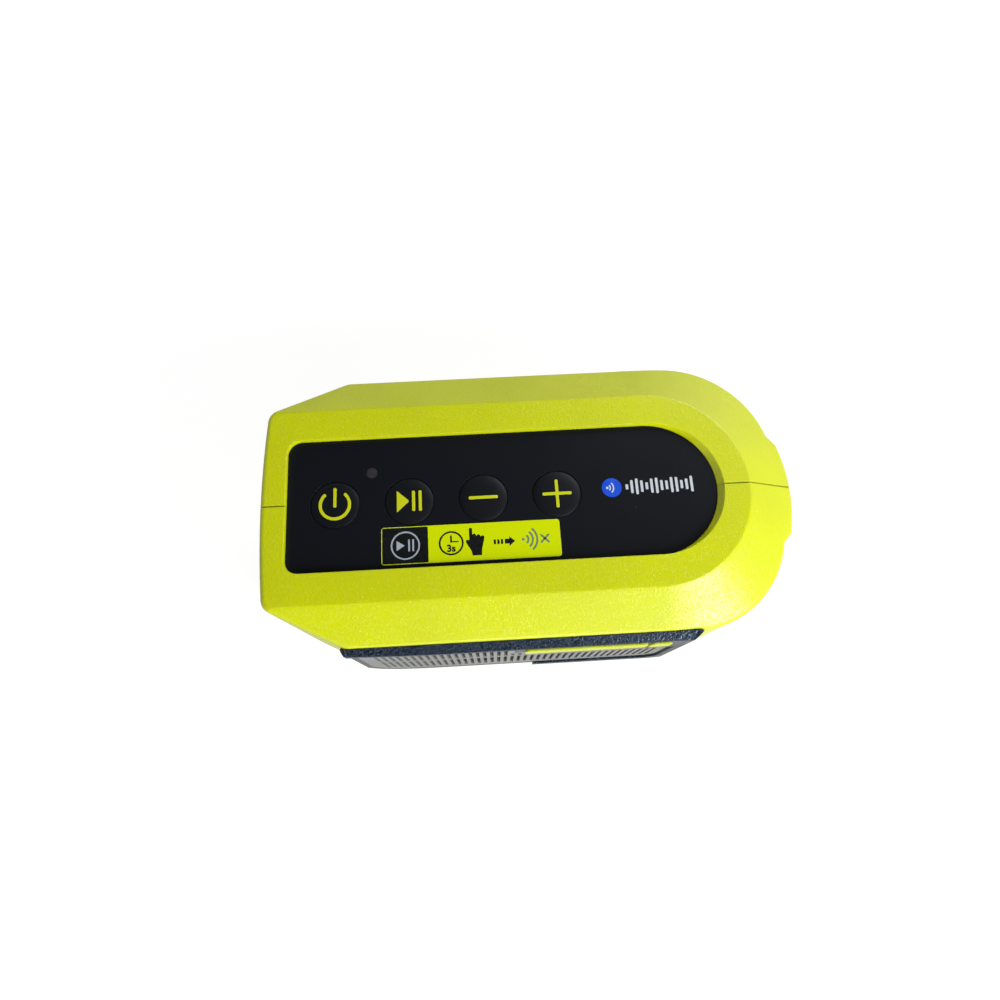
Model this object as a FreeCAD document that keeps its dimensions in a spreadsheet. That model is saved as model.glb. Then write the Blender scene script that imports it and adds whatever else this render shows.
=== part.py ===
import FreeCAD, Part
import math
import operator
import os
import Sketcher

# A clip-on workshop loudspeaker that stands on a tool battery.
# Sizes are in millimetres and angles in degrees. Places are measured on the bench: across runs to the
# right, depth runs to the back from the parting plane, and up runs from the underside.
SIZES = {
    # Housing outline, seen from above
    "housing_height": 68.0,
    "half_depth": 38.5,
    "left_reach": 64.3,
    "left_end_radius": 300.0,
    "corner_cut_run": 21.3,
    "corner_cut_depth": 11.0,
    "right_corner_place": 50.0,
    "right_corner_radius": 28.0,
    "right_end_radius": 120.0,
    # Bevel round the top, walls and edges
    "crease_centre": 40.5,
    "bevel_angle": 26.4,
    "roof_drop": 12.0,
    "roof_margin": 45.0,
    "upright_round": 4.0,
    "rim_round": 1.5,
    "base_chamfer": 1.5,
    "wall": 2.4,
    "floor_wall": 2.4,
    "seam_width": 0.4,
    "seam_depth": 0.5,
    # Raised pads on the right end and on the back
    "end_pad_rise": 3.2,
    "end_pad_half": 13.3,
    "end_pad_radius": 53.0,
    "end_pad_low": 9.0,
    "rear_pad_left": 41.0,
    "rear_pad_right": 49.0,
    "rear_pad_rise": 1.1,
    "rear_pad_low": 12.0,
    "rear_pad_drop": 11.0,
    "rear_pad_corner": 6.0,
    # Control panel and the ledge that carries it
    "panel_left": 58.5,
    "panel_round_centre": 40.5,
    "panel_half_depth": 18.75,
    "panel_corner": 3.8,
    "panel_thickness": 2.0,
    "panel_sink": 1.7,
    "panel_gap": 0.15,
    "ledge_width": 1.8,
    "ledge_wall": 2.2,
    "adhesive_thickness": 0.3,
    "adhesive_width": 1.3,
    # Keys and their symbols
    "first_key": 45.5,
    "key_pitch": 20.2,
    "key_radius": 6.5,
    "key_gap": 0.3,
    "key_rise": 0.35,
    "key_shoulder": 0.9,
    "key_flange_width": 1.1,
    "key_flange_thickness": 0.8,
    "key_flange_gap": 0.1,
    "key_stem_radius": 2.0,
    "key_travel": 0.5,
    "symbol_rise": 0.08,
    "symbol_depth": 0.5,
    "symbol_stroke": 0.85,
    "ring_radius": 4.4,
    "ring_opening": 86.0,
    "ring_bar_length": 5.6,
    "arrow_width": 3.2,
    "arrow_height": 5.8,
    "pause_gap": 0.95,
    "cross_span": 8.0,
    # Key board, push switches and status light
    "board_thickness": 1.6,
    "key_board_left": 54.0,
    "key_board_right": 24.0,
    "key_board_half_depth": 15.2,
    "board_corner": 2.0,
    "switch_side": 6.0,
    "switch_height": 3.5,
    "plunger_radius": 1.7,
    "plunger_rise": 0.8,
    "plunger_length": 1.9,
    "plunger_gap": 0.08,
    "plunger_room": 0.3,
    "light_across": 35.4,
    "light_depth": 8.75,
    "light_radius": 1.5,
    "light_gap": 0.05,
    "light_chip_height": 0.7,
    "post_radius": 2.2,
    "post_depth": 12.3,
    "post_left": 38.5,
    "post_right": 5.0,
    # Pictogram sticker
    "sticker_left": 33.0,
    "sticker_right": 15.1,
    "sticker_front": 17.5,
    "sticker_depth": 10.3,
    "sticker_thickness": 0.12,
    "sticker_corner": 0.8,
    # Front bezel, grille, dust cloth and accents
    "bezel_left": 45.0,
    "bezel_right": 52.0,
    "bezel_low_drop": 52.5,
    "bezel_top_gap": 0.2,
    "bezel_rise": 2.5,
    "bezel_left_rise": 1.9,
    "bezel_left_slant": 1.3,
    "bezel_right_slant": 3.0,
    "bezel_curve_start": 15.0,
    "bezel_corner": 12.0,
    "bezel_small_corner": 9.0,
    "bezel_top_corner": 2.0,
    "grille_left": 41.8,
    "grille_right": 46.5,
    "grille_low_drop": 49.0,
    "grille_high_drop": 8.6,
    "badge_left": 1.5,
    "badge_drop": 20.5,
    "badge_ramp": 4.7,
    "grille_corner": 9.0,
    "grille_small_corner": 5.5,
    "grille_rise": 1.75,
    "grille_left_rise": 1.2,
    "grille_curve_start": 20.0,
    "grille_gap": 0.15,
    "grille_flange": 1.0,
    "grille_flange_thickness": 0.6,
    "cloth_thickness": 0.25,
    "cloth_margin": 0.5,
    "lip_start": 7.9,
    "slot_width": 1.0,
    "slot_pitch": 2.0,
    "slot_height": 16.4,
    "slot_row_pitch": 18.2,
    "slot_top_margin": 2.0,
    "slot_start": 37.5,
    "slot_low_rise": 3.4,
    "accent_left": 4.0,
    "accent_length": 33.0,
    "accent_height": 6.4,
    "accent_low_rise": 5.7,
    "accent_gap": 0.8,
    "accent_pill_length": 5.7,
    "accent_sink": 0.5,
    "accent_thickness": 0.9,
    "accent_corner": 1.2,
    # Loudspeaker, measured from the inside of the front wall
    "driver_across": 20.0,
    "driver_drop": 30.0,
    "driver_flange": 42.0,
    "driver_flange_corner": 4.0,
    "driver_flange_thickness": 1.2,
    "driver_bolt_inset": 3.8,
    "driver_rim_width": 3.2,
    "driver_opening_gap": 0.4,
    "gasket_thickness": 0.8,
    "gasket_gap": 0.2,
    "gasket_pad_gap": 0.8,
    "surround_width": 3.5,
    "surround_lip": 1.2,
    "surround_thickness": 0.35,
    "surround_roll": 1.35,
    "cone_thickness": 0.4,
    "cone_rim": 1.2,
    "cone_neck_depth": 5.6,
    "frame_wall": 0.9,
    "frame_waist": 12.9,
    "frame_depth": 13.0,
    "frame_shelf_depth": 9.3,
    "frame_window_share": 0.6,
    "top_plate_thickness": 2.5,
    "top_plate_radius": 13.5,
    "magnet_radius": 15.0,
    "magnet_inner": 8.6,
    "magnet_thickness": 6.0,
    "back_plate_thickness": 2.5,
    "pole_radius": 6.0,
    "coil_gap": 0.32,
    "former_thickness": 0.15,
    "winding_thickness": 0.4,
    "winding_length": 4.6,
    "former_length": 10.6,
    "spider_thickness": 0.4,
    "dust_cap_rise": 2.0,
    # Main board and what it carries
    "main_board_depth": 16.0,
    "main_board_left": 45.0,
    "main_board_right": 2.0,
    "main_board_low": 8.0,
    "main_board_drop": 16.0,
    "main_post_inset": 3.0,
    "main_post_radius": 2.6,
    "radio_left": 39.0,
    "radio_drop": 1.5,
    "radio_width": 10.5,
    "radio_height": 16.5,
    "radio_base": 0.8,
    "radio_thickness": 2.6,
    "radio_aerial": 4.0,
    "sink_left": 13.0,
    "sink_rise": 12.0,
    "sink_side": 13.0,
    "sink_plate": 1.5,
    "sink_height": 8.0,
    "fin_count": 5,
    "fin_thickness": 1.0,
    "chip_side": 8.0,
    "chip_height": 1.1,
    "capacitor_left": 38.5,
    "capacitor_rise": 12.0,
    "capacitor_pitch": 9.0,
    "capacitor_radius": 3.9,
    "capacitor_length": 11.0,
    "capacitor_groove": 0.35,
    "inductor_left": 9.5,
    "inductor_rise": 5.0,
    "inductor_side": 8.0,
    "inductor_height": 4.2,
    # Connectors, ribbon cable and leads
    "plug_width": 8.0,
    "plug_height": 5.0,
    "power_plug_left": 14.0,
    "power_plug_drop": 0.5,
    "power_plug_depth": 6.6,
    "signal_plug_depth": 5.0,
    "ribbon_left": 26.0,
    "ribbon_width": 10.0,
    "ribbon_depth": 10.0,
    "ribbon_drop": 10.0,
    "ribbon_thickness": 0.3,
    "ribbon_plug_height": 2.0,
    "ribbon_plug_depth": 4.0,
    "lead_diameter": 1.8,
    "lead_row": 12.9,
    "lead_pitch": 2.3,
    "lead_bend": 8.0,
    "lead_straight": 2.0,
    "signal_lead_diameter": 1.2,
    "signal_lead_pitch": 4.0,
    "signal_sag": 5.0,
    # Battery socket
    "socket_across": 37.0,
    "socket_length": 43.0,
    "socket_depth": 33.0,
    "socket_corner": 6.0,
    "socket_headroom": 24.0,
    "socket_wall": 2.0,
    "socket_gap": 0.2,
    "socket_recess": 0.4,
    "socket_flange": 3.0,
    "socket_flange_thickness": 2.0,
    "latch_length": 12.0,
    "latch_height": 5.0,
    "latch_low": 11.0,
    "latch_depth": 1.0,
    "terminal_length": 22.0,
    "terminal_depth": 13.0,
    "terminal_drop": 5.0,
    "blade_pitch": 7.0,
    "blade_width": 5.0,
    "blade_thickness": 0.8,
    "blade_drop": 9.0,
    "blade_tail": 4.6,
    # Bosses and screws
    "boss_radius": 3.2,
    "screw_left": 50.0,
    "screw_middle": 7.0,
    "screw_right": 66.0,
    "screw_low": 10.0,
    "screw_middle_drop": 26.0,
    "screw_high_drop": 18.0,
    "screw_seat": 14.0,
    "screw_length": 22.0,
    "screw_radius": 1.5,
    "screw_head_radius": 3.0,
    "screw_head_height": 2.2,
    "screw_thread_gap": 0.02,
    "screw_free_gap": 0.25,
    "screw_clear_gap": 0.1,
    "pilot_extra": 2.0,
    "small_screw_radius": 1.0,
    "small_screw_head_radius": 1.9,
    "small_screw_head_height": 1.2,
    "small_screw_length": 3.6,
    "bezel_screw_radius": 0.8,
    "bezel_screw_across": 12.5,
    "bezel_peg_radius": 0.8,
    "bezel_peg_low_drop": 38.0,
    "bezel_peg_high_drop": 18.0,
    "trap_rib_thickness": 2.0,
    "part_gap": 0.3,
}

AHEAD = FreeCAD.Rotation(FreeCAD.Vector(1, 0, 0), 90)
BACKWARD = FreeCAD.Rotation(FreeCAD.Vector(1, 0, 0), -90)
UPRIGHT = FreeCAD.Rotation()
SIDEWAYS = FreeCAD.Rotation(FreeCAD.Vector(1, 1, 1), 120)

doc = FreeCAD.newDocument("speaker")


class Size:
    """A size worked out from the sheet: its number, and the formula that binds it to the cells."""

    def __init__(self, number, formula):
        self.number = float(number)
        self.formula = formula

    def __add__(self, other):
        return worked_out(self, "+", other)

    def __radd__(self, other):
        return worked_out(other, "+", self)

    def __sub__(self, other):
        return worked_out(self, "-", other)

    def __rsub__(self, other):
        return worked_out(other, "-", self)

    def __mul__(self, other):
        return worked_out(self, "*", other)

    def __rmul__(self, other):
        return worked_out(other, "*", self)

    def __truediv__(self, other):
        return worked_out(self, "/", other)

    def __neg__(self):
        return Size(-self.number, f"(-1 * {self.formula})")


SIGNS = {"+": operator.add, "-": operator.sub, "*": operator.mul, "/": operator.truediv}


def as_size(value):
    return value if isinstance(value, Size) else Size(value, f"({float(value)})")


def worked_out(left, sign, right):
    left = as_size(left)
    right = as_size(right)
    number = SIGNS[sign](left.number, right.number)
    return Size(number, f"({left.formula} {sign} {right.formula})")


def root(value):
    return Size(math.sqrt(value.number), f"sqrt({value.formula})")


def tangent(angle):
    return Size(math.tan(math.radians(angle.number)), f"tan({angle.formula})")


def cosine(angle):
    return Size(math.cos(math.radians(angle.number)), f"cos({angle.formula})")


def sine(angle):
    return Size(math.sin(math.radians(angle.number)), f"sin({angle.formula})")


def make_sheet():
    sheet = doc.addObject("Spreadsheet::Sheet", "dims")
    for row, (name, value) in enumerate(SIZES.items(), 1):
        sheet.set(f"A{row}", name)
        sheet.set(f"B{row}", str(value))
        sheet.setAlias(f"B{row}", name)
    doc.recompute()


class Dimensions:
    """Each cell of the sheet under its own name, and the sizes that several pieces share."""

    def __init__(self):
        for name, value in SIZES.items():
            setattr(self, name, Size(value, f"dims.{name}"))


make_sheet()
d = Dimensions()

# Places that several pieces share, worked out from the cells
d.crease_half = d.half_depth - d.corner_cut_depth
d.panel_top = d.housing_height - d.panel_sink
d.panel_under = d.panel_top - d.panel_thickness
d.ledge_top = d.panel_under - d.adhesive_thickness
d.cavity_top = d.ledge_top - d.ledge_wall
d.wall_face = d.half_depth - d.wall
d.rear_pad_high = d.housing_height - d.rear_pad_drop
d.bezel_low = d.housing_height - d.bezel_low_drop
d.grille_low = d.housing_height - d.grille_low_drop
d.grille_high = d.housing_height - d.grille_high_drop
d.badge_low = d.housing_height - d.badge_drop
d.slot_low = d.grille_low + d.slot_low_rise
d.accent_low = d.badge_low + d.accent_low_rise
d.bezel_peg_low = d.housing_height - d.bezel_peg_low_drop
d.bezel_peg_high = d.housing_height - d.bezel_peg_high_drop
d.driver_height = d.housing_height - d.driver_drop
d.screw_middle_high = d.housing_height - d.screw_middle_drop
d.screw_high = d.housing_height - d.screw_high_drop
d.socket_height = d.housing_height - d.socket_headroom
d.main_board_high = d.housing_height - d.main_board_drop
d.capacitor_low = d.main_board_low + d.capacitor_rise
d.sink_low = d.main_board_low + d.sink_rise
d.inductor_low = d.main_board_low + d.inductor_rise
d.radio_low = d.main_board_high - d.radio_drop - d.radio_height
d.power_plug_low = d.main_board_high - d.power_plug_drop - d.plug_height
d.driver_bolt_offset = d.driver_flange / 2 - d.driver_bolt_inset
d.surround_outer = d.driver_flange / 2 - d.driver_rim_width
d.driver_opening = d.surround_outer + d.driver_opening_gap
d.gasket_inner = d.surround_outer + d.gasket_gap
d.gasket_outer = (
    root(d.driver_bolt_offset * d.driver_bolt_offset * 2)
    - d.boss_radius + d.part_gap - d.gasket_pad_gap
)
d.cone_radius = d.surround_outer - d.surround_width
d.signal_plug_low = d.driver_height - (d.driver_flange - d.frame_wall * 2 + d.plug_height) / 2
d.ribbon_low = d.main_board_high - d.ribbon_drop
d.end_centre = d.right_corner_place - root(
    (d.right_end_radius - d.right_corner_radius) * (d.right_end_radius - d.right_corner_radius)
    - (d.half_depth - d.right_corner_radius) * (d.half_depth - d.right_corner_radius)
)
d.right_reach = d.end_centre + d.right_end_radius
d.end_pad_reach = d.right_reach + d.end_pad_rise
d.left_sagitta = d.left_end_radius - root(
    d.left_end_radius * d.left_end_radius - d.crease_half * d.crease_half
)
d.bezel_high = (
    d.housing_height - d.corner_cut_depth * tangent(d.bevel_angle) - d.bezel_top_gap
)
d.key_stem_foot = d.panel_under - d.key_flange_gap - d.key_flange_thickness - d.key_travel * 2
d.key_board_top = d.key_stem_foot - d.plunger_rise - d.switch_height
d.key_board_under = d.key_board_top - d.board_thickness
d.frame_front = d.wall_face - d.gasket_thickness
d.origin_across = (
    (d.left_reach + d.left_sagitta) - d.end_pad_reach
) / 2
d.accent_rise = d.accent_thickness - d.accent_sink
d.origin_depth = (d.bezel_rise + d.accent_rise - d.rear_pad_rise) / 2

pieces = []


def bind(thing, setting, value):
    """Bind one property to its formula on the sheet."""
    thing.setExpression(setting, as_size(value).formula)


def place(thing, across, depth, up, turn=UPRIGHT):
    """Put a thing in the frame, whose origin lies under the middle of the whole object."""
    thing.Placement = FreeCAD.Placement(FreeCAD.Vector(), turn)
    bind(thing, "Placement.Base.x", across + d.origin_across)
    bind(thing, "Placement.Base.y", depth + d.origin_depth)
    bind(thing, "Placement.Base.z", up)
    return thing


def piece(thing, label):
    """Name a finished piece of the object."""
    thing.Label = label
    pieces.append(thing)
    return thing


def arc_middle(start, end, radius):
    """The middle of an arc that bulges outwards on an anticlockwise path."""
    chord = end - start
    half = chord.Length / 2
    rise = abs(radius) - math.sqrt(max(radius * radius - half * half, 0))
    outwards = FreeCAD.Vector(chord.y, -chord.x, 0).normalize()
    return (start + end) * 0.5 + outwards * math.copysign(rise, radius)


def draw(sketch, path):
    """Draw a closed outline. A corner is (x, y), or (x, y, radius of the arc that leaves it)."""
    first = sketch.GeometryCount
    corners = [FreeCAD.Vector(as_size(c[0]).number, as_size(c[1]).number, 0) for c in path]
    starts = []
    for index, corner in enumerate(path):
        here = corners[index]
        there = corners[(index + 1) % len(path)]
        if len(corner) == 3:
            middle = arc_middle(here, there, as_size(corner[2]).number)
            edge = sketch.addGeometry(Part.Arc(here, middle, there))
        else:
            edge = sketch.addGeometry(Part.LineSegment(here, there))
        near = (sketch.getPoint(edge, 1) - here).Length < (sketch.getPoint(edge, 2) - here).Length
        starts.append(1 if near else 2)
    for index, corner in enumerate(path):
        edge = first + index
        follower = first + (index + 1) % len(path)
        end = 3 - starts[index]
        joint = Sketcher.Constraint("Coincident", edge, end, follower, starts[follower - first])
        sketch.addConstraint(joint)
        for kind, value in (("DistanceX", corner[0]), ("DistanceY", corner[1])):
            fixed = Sketcher.Constraint(kind, -1, 1, edge, starts[index], as_size(value).number)
            number = sketch.addConstraint(fixed)
            bind(sketch, f"Constraints[{number}]", value)
        if len(corner) == 3:
            size = corner[2] if as_size(corner[2]).number > 0 else -corner[2]
            number = sketch.addConstraint(Sketcher.Constraint("Radius", edge, as_size(size).number))
            bind(sketch, f"Constraints[{number}]", size)


def draw_circle(sketch, across, up, radius):
    centre = FreeCAD.Vector(as_size(across).number, as_size(up).number, 0)
    circle = Part.Circle(centre, FreeCAD.Vector(0, 0, 1), as_size(radius).number)
    edge = sketch.addGeometry(circle)
    for kind, value in (("DistanceX", across), ("DistanceY", up)):
        fixed = Sketcher.Constraint(kind, -1, 1, edge, 3, as_size(value).number)
        bind(sketch, f"Constraints[{sketch.addConstraint(fixed)}]", value)
    number = sketch.addConstraint(Sketcher.Constraint("Radius", edge, as_size(radius).number))
    bind(sketch, f"Constraints[{number}]", radius)


def rounded_box(left, low, right, high, corners):
    """A rectangle's path, with a radius for each corner, anticlockwise from the lower left."""
    first, second, third, fourth = corners
    return [
        (left + first, low),
        (right - second, low, second),
        (right, low + second),
        (right, high - third, third),
        (right - third, high),
        (left + fourth, high, fourth),
        (left, high - fourth),
        (left, low + first, first),
    ]


def body_sketch(body, role, name, *paths, circles=(), lift=None):
    """A sketch on one of a body's own planes, lifted off it where that is asked for."""
    sketch = body.newObject("Sketcher::SketchObject", name)
    plane = [item for item in body.Origin.OriginFeatures if item.Role == role][0]
    sketch.AttachmentSupport = [(plane, "")]
    sketch.MapMode = "FlatFace"
    if lift is not None:
        bind(sketch, "AttachmentOffset.Base.z", lift)
    for path in paths:
        draw(sketch, path)
    for circle in circles:
        draw_circle(sketch, *circle)
    return sketch


def pad(body, sketch, length, down=False):
    feature = body.newObject("PartDesign::Pad", sketch.Name + "_pad")
    feature.Profile = sketch
    feature.Reversed = down
    bind(feature, "Length", length)
    return feature


def pocket(body, sketch, depth, up=False):
    """Cut a sketch's outline out of the body, and check that something was cut."""
    before = body.Shape.Volume
    feature = body.newObject("PartDesign::Pocket", sketch.Name + "_pocket")
    feature.Profile = sketch
    feature.Reversed = up
    bind(feature, "Length", depth)
    doc.recompute()
    if not feature.Shape.Volume < before - 1e-6:
        raise RuntimeError(f"{feature.Name} cuts nothing")
    return feature


def plate(name, path, thickness, circles=(), role="XY_Plane"):
    """A flat piece, padded from one outline with its holes in it."""
    body = doc.addObject("PartDesign::Body", name)
    pad(body, body_sketch(body, role, name + "_outline", path, circles=circles), thickness)
    return body


def turned(name, *paths):
    """A round piece, turned about its own upright axis. A path holds (radius, height) corners."""
    body = doc.addObject("PartDesign::Body", name)
    sketch = body_sketch(body, "XZ_Plane", name + "_section", *paths)
    feature = body.newObject("PartDesign::Revolution", name + "_turned")
    feature.Profile = sketch
    feature.ReferenceAxis = (sketch, ["V_Axis"])
    feature.Angle = 360
    return body


def outline(name, path, turn=UPRIGHT):
    """A free outline, flat for a view from above or upright for a view from the front."""
    sketch = doc.addObject("Sketcher::SketchObject", name)
    draw(sketch, path)
    return place(sketch, 0, 0, 0, turn)


def grown(name, sketch, growth):
    offset = doc.addObject("Part::Offset2D", name)
    offset.Source = sketch
    bind(offset, "Value", growth)
    return offset


def prism(name, source, start, end, direction=(0, 0, 1)):
    """A solid between two places along one direction, from a flat outline."""
    feature = doc.addObject("Part::Extrusion", name)
    feature.Base = source
    feature.DirMode = "Custom"
    feature.Dir = FreeCAD.Vector(*direction)
    feature.Solid = True
    bind(feature, "LengthFwd", end - start)
    for axis, part in zip("xyz", direction):
        if part:
            bind(feature, f"Placement.Base.{axis}", start * part)
    return feature


def block(name, across, depth, up):
    """A box between two places on each axis."""
    box = doc.addObject("Part::Box", name)
    bind(box, "Length", across[1] - across[0])
    bind(box, "Width", depth[1] - depth[0])
    bind(box, "Height", up[1] - up[0])
    return place(box, across[0], depth[0], up[0])


def rod(name, radius, length, across, depth, up, turn=UPRIGHT):
    """A round bar that starts at a place and runs along its own axis."""
    cylinder = doc.addObject("Part::Cylinder", name)
    bind(cylinder, "Radius", radius)
    bind(cylinder, "Height", length)
    return place(cylinder, across, depth, up, turn)


def rods(name, radius, length, places, depth, turn):
    """Round bars of one size, one at each place across and up, that all start at one depth."""
    return [
        rod(f"{name}_{index}", radius, length, across, depth, up, turn)
        for index, (across, up) in enumerate(places)
    ]


def fuse(name, things):
    things = list(things)
    if len(things) == 1:
        return things[0]
    feature = doc.addObject("Part::MultiFuse", name)
    feature.Shapes = things
    return feature


def cut(name, base, *tools):
    feature = doc.addObject("Part::Cut", name)
    feature.Base = base
    feature.Tool = fuse(name + "_tools", tools)
    return feature


def common(name, first, second):
    feature = doc.addObject("Part::Common", name)
    feature.Base = first
    feature.Tool = second
    return feature


def group(name, things):
    feature = doc.addObject("Part::Compound", name)
    feature.Links = list(things)
    return feature


def copies(name, model, places, turn=UPRIGHT):
    """Copies of one piece at several places, as one group of solids."""
    links = []
    for index, (across, depth, up) in enumerate(places):
        link = doc.addObject("App::Link", f"{name}_{index + 1}")
        link.LinkedObject = model
        links.append(place(link, across, depth, up, turn))
    return group(name, links)


# A screw's details, as shares of its radius and of its head
SCREW_POINT = 0.9
HEAD_BEVEL = 0.35
CROSS_REACH = 0.62
CROSS_HALF_WIDTH = 0.13
CROSS_DEPTH = 0.55


def screw(name, radius, length, head_radius, head_height):
    """A pan head screw with a cross recess. Its head sits above its own zero, its shank below."""
    tip = radius * SCREW_POINT
    bevel = head_height * HEAD_BEVEL
    body = turned(
        name,
        [
            (0, -length),
            (radius, -length + tip),
            (radius, 0),
            (head_radius, 0),
            (head_radius, head_height - bevel),
            (head_radius - bevel, head_height),
            (0, head_height),
        ],
    )
    arm = head_radius * CROSS_REACH
    half = head_radius * CROSS_HALF_WIDTH
    cross = [
        (-arm, -half), (-half, -half), (-half, -arm), (half, -arm), (half, -half), (arm, -half),
        (arm, half), (half, half), (half, arm), (-half, arm), (-half, half), (-arm, half),
    ]
    doc.recompute()
    recess = body_sketch(body, "XY_Plane", name + "_recess", cross, lift=head_height)
    pocket(body, recess, head_height * CROSS_DEPTH)
    return body


def round_edges(body, kind, name, chosen, size):
    """Round or chamfer the edges of a body's last feature that a test picks out."""
    base = body.Tip
    names = [f"Edge{i + 1}" for i, edge in enumerate(base.Shape.Edges) if chosen(edge)]
    feature = body.newObject(f"PartDesign::{kind}", name)
    feature.Base = (base, names)
    bind(feature, "Radius" if kind == "Fillet" else "Size", size)
    doc.recompute()
    return feature


# The housing's outer form, which both shells share

def pod_path():
    radii_apart = d.right_end_radius - d.right_corner_radius
    corner_end_depth = d.right_end_radius * (d.half_depth - d.right_corner_radius) / radii_apart
    corner_end = d.end_centre + (
        d.right_end_radius * (d.right_corner_place - d.end_centre) / radii_apart
    )
    return [
        (-d.left_reach, -d.crease_half),
        (d.corner_cut_run - d.left_reach, -d.half_depth),
        (d.right_corner_place, -d.half_depth, d.right_corner_radius),
        (corner_end, -corner_end_depth, d.right_end_radius),
        (corner_end, corner_end_depth, d.right_corner_radius),
        (d.right_corner_place, d.half_depth),
        (d.corner_cut_run - d.left_reach, d.half_depth),
        (-d.left_reach, d.crease_half, d.left_end_radius),
    ]


def roof_form():
    """Everything under the bevel: a sloping roof over a block that is larger than the housing."""
    body = doc.addObject("PartDesign::Body", "roof_form")
    far_left = -d.left_reach - d.roof_margin
    crease = [
        (far_left, -d.crease_half),
        (d.crease_centre, -d.crease_half, d.crease_half),
        (d.crease_centre + d.crease_half, 0, d.crease_half),
        (d.crease_centre, d.crease_half),
        (far_left, d.crease_half),
    ]
    sketch = body_sketch(body, "XY_Plane", "crease", crease, lift=d.housing_height)
    roof = pad(body, sketch, d.roof_drop, down=True)
    bind(roof, "TaperAngle", 90 - d.bevel_angle)
    reach = d.right_reach + d.roof_margin
    side = d.half_depth + d.roof_margin
    square = [(-reach, -side), (reach, -side), (reach, side), (-reach, side)]
    under = body_sketch(body, "XY_Plane", "roof_block", square)
    pad(body, under, d.housing_height - d.roof_drop)
    return body


def pod_form():
    """Both shells together and solid: upright walls, the two raised pads, and the roof's bevel."""
    body = doc.addObject("PartDesign::Body", "pod_form")
    pad(body, body_sketch(body, "XY_Plane", "pod_outline", pod_path()), d.housing_height)
    doc.recompute()

    def upright(edge):
        line = edge.BoundBox
        return line.ZLength > d.housing_height.number / 2 and line.XMax < -d.corner_cut_run.number

    round_edges(body, "Fillet", "upright_rounds", upright, d.upright_round)
    half = d.end_pad_half
    radius = d.end_pad_radius
    pad_corner = d.end_pad_reach - radius + root(radius * radius - half * half)
    pad_root = d.right_reach - d.wall
    slant = pad_corner - pad_root
    end_pad = [
        (pad_root, -half - slant),
        (pad_corner, -half, radius),
        (pad_corner, half),
        (pad_root, half + slant),
    ]
    sketch = body_sketch(body, "XY_Plane", "end_pad", end_pad, lift=d.end_pad_low)
    pad(body, sketch, d.housing_height - d.end_pad_low)
    rear_pad = rounded_box(
        -d.rear_pad_left, d.rear_pad_low, d.rear_pad_right, d.rear_pad_high, [d.rear_pad_corner] * 4
    )
    sketch = body_sketch(body, "XZ_Plane", "rear_pad", rear_pad, lift=-d.half_depth - d.rear_pad_rise)
    pad(body, sketch, d.rear_pad_rise + d.wall / 2)
    trim = body.newObject("PartDesign::Boolean", "roof_trim")
    trim.Type = "Common"
    trim.setObjects([roof_form()])
    doc.recompute()

    def rim(edge):
        line = edge.BoundBox
        top = d.housing_height.number - 0.01
        flank_seam = line.ZMax > top and line.ZMin < d.housing_height.number - d.rim_round.number - 0.5
        return line.ZMin > d.rear_pad_high.number + 0.5 and not flank_seam

    round_edges(body, "Fillet", "rim_rounds", rim, d.rim_round)
    round_edges(body, "Chamfer", "base_edge", lambda edge: edge.BoundBox.ZMax < 0.01, d.base_chamfer)
    return place(body, 0, 0, 0)


# Housing shells

def screw_places():
    """Across and up for each housing screw."""
    return [
        (-d.screw_left, d.screw_low),
        (-d.screw_left, d.screw_high),
        (d.screw_middle, d.screw_low),
        (d.screw_middle, d.screw_middle_high),
        (d.screw_right, d.screw_low),
        (d.screw_right, d.screw_high),
    ]


def driver_bolt_places():
    offset = d.driver_bolt_offset
    return [
        (-d.driver_across + side * offset, d.driver_height + rise * offset)
        for side in (-1, 1)
        for rise in (-1, 1)
    ]


def bezel_screw_places():
    low = (d.bezel_low + d.grille_low - d.grille_flange - d.grille_gap) / 2
    high = (d.badge_low + d.bezel_high) / 2
    return [
        (d.bezel_screw_across, low),
        (d.grille_right - d.bezel_corner, low),
        (d.badge_left + d.accent_gap + d.bezel_corner / 2, high),
        (d.grille_right - d.bezel_corner / 2, high),
    ]


def bezel_peg_places():
    across = (d.bezel_left + d.grille_left + d.grille_flange + d.grille_gap) / -2
    return [(across, d.bezel_peg_low), (across, d.bezel_peg_high)]


def main_post_places():
    inset = d.main_post_inset
    return [
        (across, up)
        for across in (inset - d.main_board_left, d.main_board_right - inset)
        for up in (d.main_board_low + inset, d.main_board_high - inset)
    ]


def socket_path(growth):
    half = d.socket_length / 2 + growth
    side = d.socket_depth / 2 + growth
    corner = d.socket_corner + growth
    return rounded_box(d.socket_across - half, -side, d.socket_across + half, side, [corner] * 4)


def panel_path():
    half = d.panel_half_depth
    return [
        (d.panel_corner - d.panel_left, -half),
        (d.panel_round_centre, -half, half),
        (d.panel_round_centre + half, 0, half),
        (d.panel_round_centre, half),
        (d.panel_corner - d.panel_left, half, d.panel_corner),
        (-d.panel_left, half - d.panel_corner),
        (-d.panel_left, d.panel_corner - half, d.panel_corner),
    ]


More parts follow.
